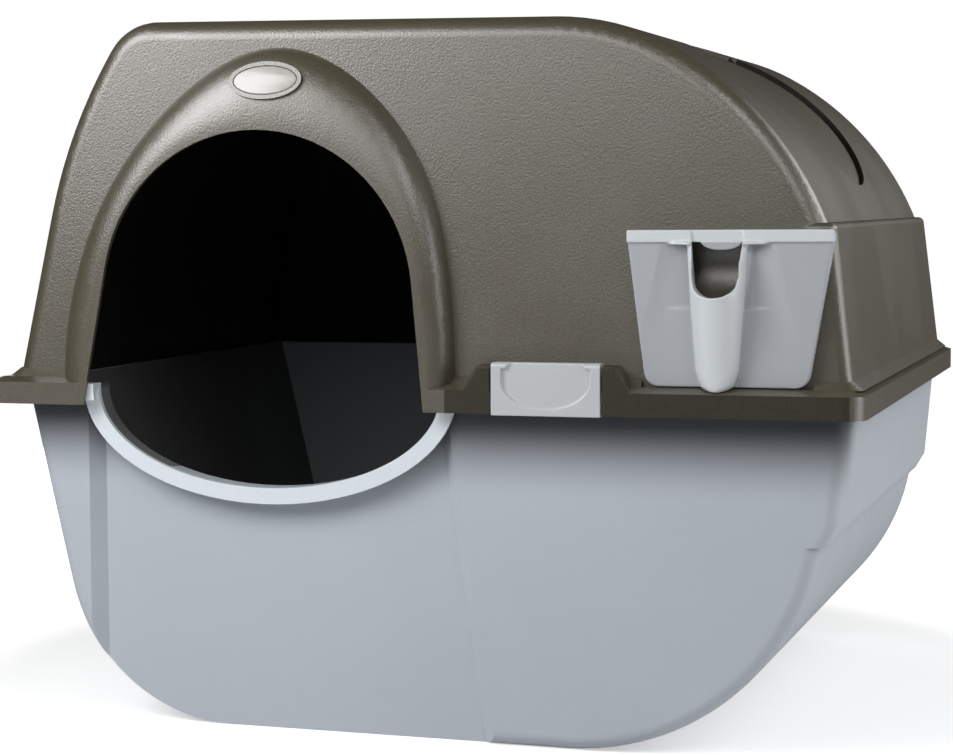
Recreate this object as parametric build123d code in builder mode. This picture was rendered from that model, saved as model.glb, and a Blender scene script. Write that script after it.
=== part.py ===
from build123d import *
from math import cos, radians, sin, sqrt, tan
import os

# Roll-to-sift litter box: a base pan and a cover, latched at a flange, with a
# slotted sifter and a pull-out waste tray inside the cover. X runs from the
# entry side to the tray side, the front faces -Y, and the box stands on Z = 0.

os.makedirs("parts", exist_ok=True)

# Overall sizes
flange_length = 559.0
flange_depth = 483.0
total_height = 443.3
handle_overhang = 9.5
wall = 3.0

# Seam between the base and the cover
seam = 216.3
skirt_bottom = seam - 13.3
skirt_wall = 3.0
flange_top = seam + 3.5
flange_slope_run = 10.0
flange_slope_drop = 3.0
flange_corner = 14.0
flange_cove = 5.0
rim_gap = 0.6
rim_plate = 2.5
rim_bottom = seam - 10.3

# The origin is under the middle of the overall box, which the handle lengthens
mid_y = handle_overhang / 2
flange_front = mid_y - flange_depth / 2
flange_back = mid_y + flange_depth / 2
flange_left = -flange_length / 2
flange_right = flange_length / 2
shelf = 15.5
front_wall = flange_front + shelf
back_wall = flange_back - shelf

# Base pan, seen from the front
base_left_foot = -118.3
base_left_radius = 112.0
base_left_lean = 13.0
base_right_foot = 101.5
base_right_radius = 152.0
base_inset = 0.8
base_edge = 9.0
base_bevel = 4.0
base_band_bottom = seam - 88.3
base_band_low = 261.0
base_band_high = 268.8
base_band_toe = 5.5
base_band_toe_height = 11.0
band_edge = 8.0

# Recessed entry panel of the base
recess_depth = 9.0
recess_left = -212.0
recess_right_top = 27.0
recess_right_bottom = 59.0

# Sill of the entry
sill_centre = -88.0
sill_half_width = 113.5
sill_drop = 60.2
sill_top = seam - 3.3
lip_height = 10.0
lip_plate = 2.5
lip_front = flange_front + 11.5

# Cover, seen from the front
cover_left_seam = -263.6
cover_left_lean = 12.0
cover_left_bend = total_height - 121.3
cover_crown_radius = 320.0
cover_corner = 36.0
roof_left_x = -168.0
roof_slope = 1.1
roof_blend = 150.0
roll_centre = (61.0, total_height - 205.7)
roll_radius = 208.0
cover_draft = 2.0
cover_edge = 13.0
cover_bevel = 8.0
cover_band_low = 271.5
cover_band_high = 259.8
cover_band_corner = 4.0

# Scooped grip on the roll side
grip_angle = 50.5
grip_half_height = 77.0
grip_half_depth = 98.0
grip_sink = 3.5

# Arched hood round the entry, as stations from the left foot to the right foot
arch_centre = (-90.0, total_height - 171.8)
crease = [
    (-228.0, seam),
    (-214.5, total_height - 145.3),
    (-163.0, total_height - 62.8),
    (-81.0, total_height - 19.3),
    (6.5, total_height - 81.3),
    (28.5, total_height - 145.3),
    (35.0, seam),
]
arch_radius = 102.0
arch_left_splay = 11.0
arch_right_splay = 5.0
arch_rim = 2.8
hood_shares = [0.0, 0.03, 0.25, 0.6, 1.0]
hood_reaches = [0.0, 0.34, 0.7, 0.9, 1.0]
hood_skipped = [0.03]
hood_root = 12.0

# Badge seat on the hood
badge_x = -82.5
badge_z = total_height - 40.3
badge_tilt = 18.0
badge_half_width = 20.8
badge_half_height = 9.3
badge_plate = 1.6
badge_gap = 0.3
badge_seat_rim = 2.6
badge_seat_height = 1.4
badge_inset = 5.0

# Latches
latch_width = 66.5
latch_side_gap = 1.0
latch_clearance = 0.4
latch_room = 14.5
latch_wall = 3.0
latch_top = seam + 17.3
latch_bottom = seam - 14.1
latch_cap = 11.5
latch_hook = 3.8
latch_hook_gap = 0.4
latch_pin_radius = 1.8
latch_pin_length = 2.4
latch_pin_clearance = 0.06
latch_axis_inset = 5.5
latch_axis_z = seam + 12.2
latch_barrel = 3.2
thumb_half_width = 27.0
thumb_high = seam + 13.5
thumb_middle = seam + 6.7
thumb_low = seam - 10.3
thumb_depth = 1.6
bump_top = seam + 15.5
bump_flat = 84.0
bump_foot = 103.0
front_latch_x = 94.0
back_latch_x = 150.0
left_latch_y = mid_y

# Waste tray
plate_top_left = 140.5
plate_top_right = 261.5
plate_bottom_left = 152.0
plate_bottom_right = 246.5
plate_bottom = seam + 4.1
plate_top = seam + 95.0
plate_thick = 2.8
plate_gap = 0.3
plate_lip = 7.0
plate_lip_proud = 1.6
plate_low_corner = 9.0
plate_high_corner = 4.0
tray_wall = 2.2
tray_bottom = seam + 6.7
tray_top = seam + 49.7
tray_bottom_left = 157.0
tray_bottom_right = 243.0
tray_top_left = 151.0
tray_top_right = 249.0
tray_length = 400.0
tray_corner = 8.0
slot_gap = 0.8
finger_well_width = 42.0
finger_well_depth = 11.0
finger_well_radius = 24.0
finger_well_z = seam + 74.7

# Tray handle, as heights with half widths and reaches in front of the plate
handle_x = 194.5
handle_foot = seam + 1.3
handle_rises = [0, 3.4, 12.4, 32.4, 56.0, 74.4, 86.9]
handle_half_widths = [5.5, 9.8, 12.6, 14.2, 15.9, 17.2, 18.0]
handle_reaches = [7.8, 9.0, 10.4, 14.6, 19.0, 14.5, 6.0]
handle_wall = 2.6
handle_hollow_stations = [0, 3, 4, 6]
handle_clearance = 0.5
window_half_width = 13.6
window_bottom = seam + 56.6
tab_half_width = 9.5
tab_drop = 5.5
wing_length = 15.0
wing_thick = 1.4
scallop_high_half = 33.0
scallop_high_depth = 5.0
scallop_low_half = 53.0
scallop_low_depth = 0.8

# Band of the cover round the tray
roll_low_z = plate_top + 0.7
cover_band_top = plate_top + 3.7

# Tray channel and sifter inside the cover
sheet = 2.4
channel_side_gap = 3.0
channel_right_flange = 253.5
channel_flange_high = seam + 89.7
channel_flange_low = seam + 67.7
channel_left_high = seam + 83.7
sifter_top_left = 18.0
sifter_bend = 42.0
sifter_foot = seam + 67.7
sifter_overlap = 12.0
roof_boss = 6.0
slot_width = 7.5
slot_pitch = 13.5
slot_length = 62.0
slot_margin = 20.0

# Screws of the sifter and the channel
screw_shank = 1.9
screw_head = 4.0
screw_head_thick = 2.2
screw_depth = 4.5
screw_clearance = 0.05
boss_radius = 4.4
screw_spread = 150.0
channel_screw_z = seam + 78.7


def front_view(y):
    """Plane of a front view at depth y: its x is X and its y is Z."""
    return Plane.XZ.offset(-y)


def drafted_body(side_view, low, high, front, back, draft, edge, inner=False):
    """Body of a front-view outline, between front and back walls that lean in by the draft going up."""
    lean = tan(radians(draft)) * (high - low)
    with BuildPart() as body:
        with BuildSketch(front_view(back + wall)):
            add(side_view)
        extrude(amount=back - front + 2 * wall)
        with BuildSketch(Plane.YZ.offset(-flange_length)):
            with BuildLine():
                Polyline((front, low), (back, low), (back - lean, high), (front + lean, high), close=True)
            make_face()
        extrude(amount=2 * flange_length, mode=Mode.INTERSECT)
        ends = body.faces().sort_by(Axis.Y)
        rims = (ends[0].edges() + ends[-1].edges()).filter_by(lambda e: low + 1 < e.center().Z)
        if inner:
            chamfer(rims, length=edge)
        else:
            fillet(rims, radius=edge)
    return body.part


def band_body(left, right_low, right_high, low, high, front, back, draft, edge, inset, toe, top_edge):
    """Upright band of the tray side, with rounded corners, drafted walls and a bevelled toe."""
    lean = tan(radians(draft)) * (high - low)
    with BuildPart() as body:
        with BuildSketch(front_view(back + wall)):
            with BuildLine():
                rise = toe[1] / (high - low) * (right_high - right_low)
                Polyline(
                    (left, low),
                    (right_low - inset - toe[0], low),
                    (right_low - inset + rise, low + toe[1]),
                    (right_high - inset, high),
                    (left, high),
                    close=True,
                )
            make_face()
        extrude(amount=back - front + 2 * wall)
        with BuildSketch(Plane.YZ):
            with BuildLine():
                Polyline((front, low), (back, low), (back - lean, high), (front + lean, high), close=True)
            make_face()
        extrude(amount=2 * flange_length, mode=Mode.INTERSECT)
        corners = body.edges().filter_by(lambda e: abs(e.tangent_at(0.5).Z) > 0.7 and e.center().X > left + 1)
        fillet(corners, radius=edge)
        if top_edge:
            top_face = body.faces().sort_by(Axis.Z)[-1]
            rounded = top_face.edges().filter_by(lambda e: e.center().X > left + 1)
            fillet(rounded, radius=top_edge)
    return body.part


def base_outline(inset):
    """Front-view outline of the base pan below its band."""
    run = tan(radians(base_left_lean))
    touch = radians(180 + base_left_lean)
    left_arc = (base_left_foot, base_left_radius)
    low_x = left_arc[0] + base_left_radius * cos(touch)
    low_z = left_arc[1] + base_left_radius * sin(touch)
    top = seam + 4 * wall
    with BuildSketch() as outline:
        with BuildLine():
            Line((low_x - run * (top - low_z), top), (low_x, low_z))
            CenterArc(left_arc, base_left_radius, 180 + base_left_lean, 90 - base_left_lean)
            Line((base_left_foot, 0), (base_right_foot, 0))
            CenterArc((base_right_foot, base_right_radius), base_right_radius, 270, 90)
            right = base_right_foot + base_right_radius
            Line((right, base_right_radius), (right, top))
            Line((right, top), (low_x - run * (top - low_z), top))
        make_face()
        if inset:
            offset(amount=-inset, kind=Kind.INTERSECTION)
    return outline.sketch


def roof_z(x):
    """Height of the slightly falling roof line at x."""
    return total_height - tan(radians(roof_slope)) * (x - roof_left_x)


def roof_meets(centre, radius, side):
    """Where the roof line meets a circle, on its left (side -1) or its right (side 1)."""
    fall = tan(radians(roof_slope))
    rise = roof_z(0) - centre[1]
    middle = centre[0] + fall * rise
    square = 1 + fall**2
    root = sqrt(middle**2 - square * (centre[0] ** 2 + rise**2 - radius**2))
    x = (middle + side * root) / square
    return (x, roof_z(x))


def cover_outline(inset):
    """Front-view outline of the cover above its flange."""
    lean = radians(cover_left_lean)
    low = seam - 4 * wall
    start = (cover_left_seam - tan(lean) * (seam - low), low)
    bend = (cover_left_seam + tan(lean) * (cover_left_bend - seam), cover_left_bend)
    crown_centre = (bend[0] + cover_crown_radius * cos(lean), bend[1] - cover_crown_radius * sin(lean))
    crown = roof_meets(crown_centre, cover_crown_radius, -1)
    roll_top = roof_meets(roll_centre, roll_radius, 1)
    roll_low = (roll_centre[0] + sqrt(roll_radius**2 - (roll_low_z - roll_centre[1]) ** 2), roll_low_z)
    with BuildSketch() as outline:
        with BuildLine():
            Line(start, bend)
            RadiusArc(bend, crown, cover_crown_radius)
            Line(crown, roll_top)
            RadiusArc(roll_top, roll_low, roll_radius)
            Line(roll_low, (roll_low[0], low))
            Line((roll_low[0], low), start)
        make_face()
        fillet(outline.vertices().sort_by_distance(crown)[0], radius=cover_corner)
        fillet(outline.vertices().sort_by_distance(roll_top)[0], radius=roof_blend)
        if inset:
            offset(amount=-inset, kind=Kind.INTERSECTION)
    return outline.sketch


def entry_recess(shift):
    """Space in front of the recessed panel, moved back by shift for the inner face."""
    panel = front_wall + recess_depth + shift
    near = panel - 3 * recess_depth
    ease = shift * tan(radians(22.5))
    lean = (recess_right_bottom - recess_right_top) / seam
    high = seam + 10
    with BuildPart() as space:
        for y, spread in ((panel, -recess_depth + ease), (near, 2 * recess_depth + ease)):
            left = recess_left - spread
            with BuildSketch(front_view(y)):
                with BuildLine():
                    Polyline(
                        (left, -10),
                        (recess_right_bottom + spread + 10 * lean, -10),
                        (recess_right_top + spread - 10 * lean, high),
                        (left, high),
                        close=True,
                    )
                make_face()
        loft(ruled=True)
    return space.part


def sill_shape(grow, y_near, y_far, top):
    """Half-elliptic space over the sill, grown by grow, between two depths."""
    with BuildPart() as space:
        with BuildSketch(front_view(y_far)):
            with BuildLine():
                left = sill_centre - sill_half_width - grow
                right = sill_centre + sill_half_width + grow
                EllipticalCenterArc(
                    (sill_centre, sill_top), sill_half_width + grow, sill_drop + grow, start_angle=180, arc_size=180
                )
                Line((right, sill_top), (right, top))
                Line((right, top), (left, top))
                Line((left, top), (left, sill_top))
            make_face()
        extrude(amount=y_far - y_near)
    return space.part


def rounded_slab(inset, low, high):
    """Slab of the flange's plan, inset all round."""
    with BuildPart() as slab:
        with BuildSketch(Plane.XY.offset(low)):
            with Locations((0, mid_y)):
                RectangleRounded(
                    flange_length - 2 * inset, flange_depth - 2 * inset, max(flange_corner - inset, 1.0)
                )
        extrude(amount=high - low)
    return slab.part


def arch_point(angle, radius):
    """Point at an angle, in degrees from +X, on a circle round the arch's centre."""
    return (arch_centre[0] + radius * cos(radians(angle)), arch_centre[1] + radius * sin(radians(angle)))


def arch_foot(angle, splay, radius, z):
    """Foot at the height z of a leg that leaves the arch's circle tangentially."""
    touch = arch_point(angle, radius)
    side = -1 if angle > 90 else 1
    return (touch[0] + side * tan(radians(splay)) * (touch[1] - z), z)


def opening_space(grow, y_near, y_far, low):
    """Arched entry of the cover, grown by grow, between two depths."""
    radius = arch_radius + grow
    left_angle = 180 - arch_left_splay
    with BuildPart() as space:
        with BuildSketch(front_view(y_far)):
            with BuildLine():
                left_foot = arch_foot(left_angle, arch_left_splay, radius, low)
                right_foot = arch_foot(arch_right_splay, arch_right_splay, radius, low)
                Line(left_foot, arch_point(left_angle, radius))
                CenterArc(arch_centre, radius, arch_right_splay, left_angle - arch_right_splay)
                Line(arch_point(arch_right_splay, radius), right_foot)
                Line(right_foot, left_foot)
            make_face()
        extrude(amount=y_far - y_near)
    return space.part


def hood_body(inset, ruled):
    """Hood that swells from the crease forward to the rim of the entry."""
    rim_radius = arch_radius + arch_rim
    left_angle = 180 - arch_left_splay
    rim_angles = [left_angle, 123.8, 90.0, 43.2, arch_right_splay]
    rim = [arch_foot(left_angle, arch_left_splay, rim_radius, seam)]
    rim += [arch_point(angle, rim_radius) for angle in rim_angles]
    rim += [arch_foot(arch_right_splay, arch_right_splay, rim_radius, seam)]
    root = front_wall + hood_root
    reach = root - flange_front
    with BuildPart() as hood:
        for share, forward in zip(hood_shares, hood_reaches):
            if ruled and share in hood_skipped:
                continue
            stations = []
            for out, near in zip(crease, rim):
                x = out[0] + share * (near[0] - out[0])
                z = out[1] + share * (near[1] - out[1])
                away = Vector(x - arch_centre[0], max(z - arch_centre[1], 0)).normalized()
                stations.append((x - inset * away.X, z - inset * away.Y))
            with BuildSketch(front_view(root - reach * forward + inset)):
                with BuildLine():
                    Spline(*stations)
                    Line(stations[-1], stations[0])
                make_face()
        loft(ruled=ruled)
    return hood.part


def grip_tool(depth, grow):
    """Space of the scooped grip, sunk by depth below the roll surface and grown by grow."""
    axis = Plane(
        origin=(roll_centre[0], mid_y, roll_centre[1]),
        x_dir=(0, 1, 0),
        z_dir=(cos(radians(grip_angle)), 0, sin(radians(grip_angle))),
    )
    with BuildPart() as tool:
        with BuildSketch(axis):
            Ellipse(grip_half_depth + grow, grip_half_height + grow)
        extrude(amount=roll_radius + 20)
        with BuildSketch(front_view(flange_back)):
            with Locations(roll_centre):
                Circle(roll_radius - depth)
        extrude(amount=flange_depth, mode=Mode.SUBTRACT)
    return tool.part


def bump_body(reach):
    """Raised part of the flange beside a latch: x along the flange, -y outwards from its face at 0."""
    with BuildPart() as bump:
        with BuildSketch(front_view(reach)):
            with BuildLine():
                Polyline(
                    (-bump_foot / 2, seam),
                    (bump_foot / 2, seam),
                    (bump_flat / 2, bump_top),
                    (-bump_flat / 2, bump_top),
                    close=True,
                )
            face = make_face()
            fillet(face.vertices().filter_by(lambda v: abs(v.Z - bump_top) < 0.01), radius=5)
        extrude(amount=reach)
        fillet(bump.faces().sort_by(Axis.Y)[0].edges().filter_by(lambda e: e.center().Z > seam + 1), radius=2)
    return bump.part


def latch_gap(reach):
    """Space for a latch and its swing, reach deep, in the frame of bump_body."""
    half = latch_width / 2 + latch_side_gap
    pin = latch_pin_radius + latch_pin_clearance
    with BuildPart() as gap:
        with Locations((0, (skirt_wall + latch_clearance) / 2, (skirt_bottom + flange_top) / 2)):
            Box(2 * half, skirt_wall + latch_clearance, flange_top - skirt_bottom + 2)
        with Locations((0, reach / 2, (flange_top + bump_top + 5) / 2)):
            Box(2 * half, reach, bump_top + 5 - flange_top)
        with BuildSketch(Plane.YZ.offset(-half - latch_pin_length - 0.6)):
            with Locations((latch_axis_inset, latch_axis_z)):
                Circle(pin)
        extrude(amount=2 * (half + latch_pin_length + 0.6))
    return gap.part


def latch_body():
    """Latch in its own frame: x along the flange, outer face at y = 0, z as on the box."""
    half = latch_width / 2
    hook_top = rim_bottom - latch_hook_gap
    with BuildPart() as latch:
        with BuildSketch(Plane.YZ.offset(-half)):
            with BuildLine():
                Polyline(
                    (0, latch_bottom),
                    (skirt_wall + latch_hook, latch_bottom),
                    (skirt_wall + latch_hook, hook_top),
                    (latch_wall, hook_top),
                    (latch_wall, latch_top - latch_wall),
                    (latch_cap, latch_top - latch_wall),
                    (latch_cap, latch_top),
                    (0, latch_top),
                    close=True,
                )
            make_face()
            with Locations((latch_axis_inset, latch_axis_z)):
                Circle(latch_barrel)
            with BuildLine():
                Polyline(
                    (latch_wall, latch_axis_z - latch_barrel),
                    (latch_axis_inset, latch_axis_z - latch_barrel),
                    (latch_axis_inset, latch_top - latch_wall),
                    (latch_wall, latch_top - latch_wall),
                    close=True,
                )
            make_face()
        extrude(amount=latch_width)
        front = latch.edges().filter_by(Axis.X).filter_by(lambda e: e.center().Y < 0.01)
        fillet(front.sort_by(Axis.Z)[-1], radius=2.6)
        back = latch.edges().filter_by(Axis.X).filter_by(lambda e: e.center().Y > latch_cap - 0.01)
        fillet(back.sort_by(Axis.Z)[-1], radius=2.0)
        with BuildSketch(Plane.YZ.offset(-half - latch_pin_length)):
            with Locations((latch_axis_inset, latch_axis_z)):
                Circle(latch_pin_radius)
        extrude(amount=latch_width + 2 * latch_pin_length)
        with BuildSketch(front_view(0)):
            with BuildLine():
                thumb = (thumb_half_width, thumb_high)
                Line((-thumb[0], thumb_middle), (-thumb[0], thumb[1]))
                Line((-thumb[0], thumb[1]), thumb)
                Line(thumb, (thumb[0], thumb_middle))
                EllipticalCenterArc(
                    (0, thumb_middle), thumb_half_width, thumb_middle - thumb_low, start_angle=180, arc_size=180
                )
            make_face()
        extrude(amount=-thumb_depth, mode=Mode.SUBTRACT)
    return latch.part


def tray_outline(grow):
    """Cross-section of the tray's tub, grown by grow."""
    with BuildSketch() as outline:
        with BuildLine():
            Polyline(
                (tray_bottom_left, tray_bottom),
                (tray_bottom_right, tray_bottom),
                (tray_top_right, tray_top),
                (tray_top_left, tray_top),
                close=True,
            )
        make_face()
        low_corners = outline.vertices().filter_by(lambda v: v.Y < tray_bottom + 1)
        fillet(low_corners, radius=tray_corner)
        if grow:
            offset(amount=grow, kind=Kind.INTERSECTION)
    return outline.sketch


def cover_plan(z, outset):
    """Plan outline of the cover's walls at the height z, moved out by outset."""
    rise = z - seam
    left = cover_left_seam + tan(radians(cover_left_lean)) * rise - outset
    band_lean = (cover_band_low - cover_band_high) / (cover_band_top - seam)
    right = cover_band_low - band_lean * rise + outset
    front = front_wall + tan(radians(cover_draft)) * rise - outset
    back = back_wall - tan(radians(cover_draft)) * rise + outset
    with BuildSketch(Plane.XY.offset(z)) as plan:
        with Locations(((left + right) / 2, (front + back) / 2)):
            RectangleRounded(right - left, back - front, band_edge + outset)
    return plan.sketch


def finger_well(grow):
    """Pocket behind the tray's handle, lying along X, grown by grow."""
    with BuildPart() as well:
        with BuildSketch(Plane.YZ.offset(handle_x - finger_well_width / 2 - grow)):
            with Locations((front_wall + finger_well_depth - finger_well_radius, finger_well_z)):
                Circle(finger_well_radius + grow)
        extrude(amount=finger_well_width + 2 * grow)
    return well.part


def plate_outline(inset):
    """Outline of the tray's front plate, inset all round."""
    with BuildSketch() as outline:
        with BuildLine():
            Polyline(
                (plate_bottom_left, plate_bottom),
                (plate_bottom_right, plate_bottom),
                (plate_top_right, plate_top),
                (plate_top_left, plate_top),
                close=True,
            )
        make_face()
        fillet(outline.vertices().filter_by(lambda v: v.Y < plate_bottom + 1), radius=plate_low_corner)
        fillet(outline.vertices().filter_by(lambda v: v.Y > plate_top - 1), radius=plate_high_corner)
        if inset:
            offset(amount=-inset, kind=Kind.INTERSECTION)
    return outline.sketch


def scallop(grow, low, high):
    """Shallow hollow of the plate round the handle, narrow and deep above, wide and flat below."""
    with BuildPart() as hollow:
        for z, half, depth in (
            (low, scallop_low_half, scallop_low_depth + grow),
            (high, scallop_high_half, scallop_high_depth + grow),
        ):
            with BuildSketch(Plane.XY.offset(z)):
                with BuildLine():
                    ThreePointArc(
                        (handle_x - half, plate_front),
                        (handle_x, plate_front + depth),
                        (handle_x + half, plate_front),
                    )
                    Polyline(
                        (handle_x + half, plate_front),
                        (handle_x + half, plate_front - 1),
                        (handle_x - half, plate_front - 1),
                        (handle_x - half, plate_front),
                    )
                make_face()
        loft(ruled=True)
    return hollow.part


def handle_body(stations, inset, root):
    """Pouch-like handle: half ellipses on the plate's front, with a block back to the depth root."""
    with BuildPart() as handle:
        for station in stations:
            half = handle_half_widths[station]
            reach = handle_reaches[station]
            with BuildSketch(Plane.XY.offset(handle_foot + handle_rises[station] + (0 if station else inset))):
                with BuildLine():
                    EllipticalCenterArc(
                        (handle_x, plate_front), half - inset, reach - inset, start_angle=180, arc_size=180
                    )
                    Polyline(
                        (handle_x + half - inset, plate_front),
                        (handle_x + half - inset, root),
                        (handle_x - half + inset, root),
                        (handle_x - half + inset, plate_front),
                    )
                make_face()
        loft(ruled=True)
    return handle.part


def channel_profile(points):
    """Sheet bent along a line of points seen from the front, long enough to reach both end walls."""
    with BuildPart() as profile:
        with BuildSketch(front_view(flange_back)):
            with BuildLine():
                FilletPolyline(*points, radius=2 * sheet)
                offset(amount=sheet, side=Side.RIGHT)
            make_face()
        extrude(amount=flange_depth)
    return profile.part


# Places shared by the inner pieces
slot_columns = int((back_wall - front_wall - 2 * slot_margin) / slot_pitch)
plate_front = flange_front + max(handle_reaches) - handle_overhang
plate_back = plate_front + plate_thick
plate_root = front_wall - plate_gap
channel_left = tray_top_left - channel_side_gap
channel_right = tray_top_right + channel_side_gap
screw_rows = [mid_y - screw_spread, mid_y + screw_spread]
roof_screw_x = (sifter_top_left + sifter_bend) / 2
sifter_top = roof_z(sifter_bend) - wall - roof_boss
foot_screw_z = sifter_foot + sifter_overlap / 2

# Base pan
base_front = front_wall + base_inset
base_back = back_wall - base_inset
base_outer_roll = drafted_body(base_outline(0), 0, seam, base_front, base_back, 0, base_edge)
base_inner_roll = drafted_body(
    base_outline(wall), wall, seam + 3, base_front + wall, base_back - wall, 0, base_bevel, True
)
base_toe = (base_band_toe, base_band_toe_height)
base_outer_band = band_body(
    base_right_foot, base_band_low, base_band_high, base_band_bottom, seam, base_front, base_back, 0,
    band_edge, 0, base_toe, 0
)
base_inner_band = band_body(
    base_right_foot, base_band_low, base_band_high, base_band_bottom + wall, seam + 3, base_front + wall,
    base_back - wall, 0, band_edge - wall, wall, base_toe, 0
)
recess_outer = entry_recess(0)
recess_inner = entry_recess(wall)
rim_inset = skirt_wall + rim_gap
rim_slab = rounded_slab(rim_inset, rim_bottom, seam)
rim_hollow = rounded_slab(rim_inset + rim_plate, rim_bottom - 1, seam - rim_plate)
lip_solid = sill_shape(lip_height, lip_front, front_wall + recess_depth + wall, seam)
lip_hollow = sill_shape(lip_height + 5, lip_front + lip_plate, front_wall + recess_depth, seam - rim_plate)
lip_keep = sill_shape(lip_plate, lip_front, front_wall + recess_depth + wall, seam)
entry_cut = sill_shape(0, flange_front - 5, front_wall + recess_depth + 3 * wall, seam + 5)

with BuildPart() as pan_core:
    add(base_outer_roll)
    add(base_outer_band)
    add(recess_outer, mode=Mode.SUBTRACT)

with BuildPart() as pan_space:
    add(base_inner_roll)
    add(base_inner_band)
    add(recess_inner, mode=Mode.SUBTRACT)

with BuildPart() as lip:
    add(lip_solid)
    add(lip_hollow, mode=Mode.SUBTRACT)

with BuildPart() as lip_top:
    add(lip_keep)

with BuildPart() as rim:
    add(rim_slab)
    add(rim_hollow, mode=Mode.SUBTRACT)

with BuildPart() as base_pan:
    add(pan_core.part)
    add(rim.part)
    add(lip.part)
    add(lip_top.part)
    add(pan_space.part, mode=Mode.SUBTRACT)
    add(entry_cut, mode=Mode.SUBTRACT)

base_pan.part.label = "base_pan"
export_step(base_pan.part, "parts/base_pan.step")

# Cover
cover_high = roof_z(flange_left)
cover_outer_roll = drafted_body(cover_outline(0), seam, cover_high, front_wall, back_wall, cover_draft, cover_edge)
cover_inner_roll = drafted_body(
    cover_outline(wall), seam - 1, cover_high - wall, front_wall + wall, back_wall - wall, cover_draft,
    cover_bevel, True
)
cover_outer_band = band_body(
    base_right_foot, cover_band_low, cover_band_high, seam, cover_band_top, front_wall, back_wall, cover_draft,
    band_edge, 0, (0, 1), cover_band_corner
)
cover_inner_band = band_body(
    base_right_foot, cover_band_low, cover_band_high, seam - 1, cover_band_top - wall, front_wall + wall,
    back_wall - wall, cover_draft, band_edge - wall, wall, (0, 1), 0
)
hood_outer = hood_body(0, False)
hood_inner = hood_body(wall, True)
badge_site = Plane(
    origin=(badge_x, flange_front + badge_inset, badge_z),
    x_dir=(1, 0, 0),
    z_dir=(0, -cos(radians(badge_tilt)), sin(radians(badge_tilt))),
)

with BuildPart() as badge_seat:
    with BuildSketch(badge_site.offset(-wall)):
        Ellipse(badge_half_width + badge_gap + badge_seat_rim, badge_half_height + badge_gap + badge_seat_rim)
    extrude(amount=wall + badge_seat_height)

with BuildPart() as badge_pocket:
    with BuildSketch(badge_site):
        Ellipse(badge_half_width + badge_gap, badge_half_height + badge_gap)
    extrude(amount=3 * badge_seat_height)

cover_entry = opening_space(0, flange_front - 5, front_wall + hood_root + 3 * wall, skirt_bottom - 5)
grip_outer = grip_tool(grip_sink, 0)
grip_inner = grip_tool(grip_sink + wall, wall)
latch_sites = [
    Location((front_latch_x, flange_front, 0)),
    Location((-back_latch_x, flange_back, 0), (0, 0, 180)),
    Location((back_latch_x, flange_back, 0), (0, 0, 180)),
    Location((flange_left, left_latch_y, 0), (0, 0, -90)),
]
latch_reaches = [shelf + wall, shelf + wall, shelf + wall, cover_left_seam - flange_left + 2 * wall]
bumps = [bump_body(reach).moved(site) for site, reach in zip(latch_sites, latch_reaches)]
gaps = [latch_gap(latch_room).moved(site) for site in latch_sites]
well_outer = finger_well(0)
well_inner = finger_well(wall)
slot_outline = tray_outline(slot_gap)

with BuildPart() as cover_space:
    add(cover_inner_roll)
    add(cover_inner_band)
    add(hood_inner)
    add(grip_inner, mode=Mode.SUBTRACT)
    add(well_inner, mode=Mode.SUBTRACT)

with BuildPart() as bosses:
    with BuildSketch(Plane.XY.offset(sifter_top)):
        with Locations(*[(roof_screw_x, y) for y in screw_rows]):
            RegularPolygon(boss_radius, 6)
    extrude(amount=total_height - sifter_top)
    with BuildSketch(Plane.YZ.offset(channel_right_flange)):
        with Locations(*[(y, channel_screw_z) for y in screw_rows]):
            RegularPolygon(boss_radius, 6)
    extrude(amount=cover_band_low - channel_right_flange)

with BuildPart() as screw_holes:
    with BuildSketch(Plane.XY.offset(sifter_top - sheet)):
        with Locations(*[(roof_screw_x, y) for y in screw_rows]):
            Circle(screw_shank + screw_clearance)
    extrude(amount=sheet + screw_depth)
    with BuildSketch(Plane.YZ.offset(channel_right_flange - sheet)):
        with Locations(*[(y, channel_screw_z) for y in screw_rows]):
            Circle(screw_shank + screw_clearance)
    extrude(amount=sheet + screw_depth)
    with BuildSketch(Plane.YZ.offset(channel_left - 2 * sheet)):
        with Locations(*[(y, foot_screw_z) for y in screw_rows]):
            Circle(screw_shank + screw_clearance)
    extrude(amount=2 * sheet)

with BuildPart() as flange:
    add(rounded_slab(0, skirt_bottom, flange_top))
    top_rim = flange.faces().sort_by(Axis.Z)[-1].edges()
    chamfer(top_rim, length=flange_slope_drop, length2=flange_slope_run)
    add(rounded_slab(skirt_wall, skirt_bottom - 1, seam), mode=Mode.SUBTRACT)

with BuildPart() as boss_shape:
    add(cover_outer_roll)
    add(cover_outer_band)
    add(bosses.part, mode=Mode.INTERSECT)

with BuildPart() as cove:
    add(cover_plan(flange_top - 0.5, flange_cove + 0.5))
    add(cover_plan(flange_top + flange_cove, -0.5))
    loft(ruled=True)
    plate_middle = (plate_bottom_left + plate_bottom_right) / 2
    with Locations((plate_middle, front_wall - flange_cove, flange_top + flange_cove)):
        Box(plate_bottom_right - plate_bottom_left + 6, 2 * flange_cove, 2 * flange_cove, mode=Mode.SUBTRACT)

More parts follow.
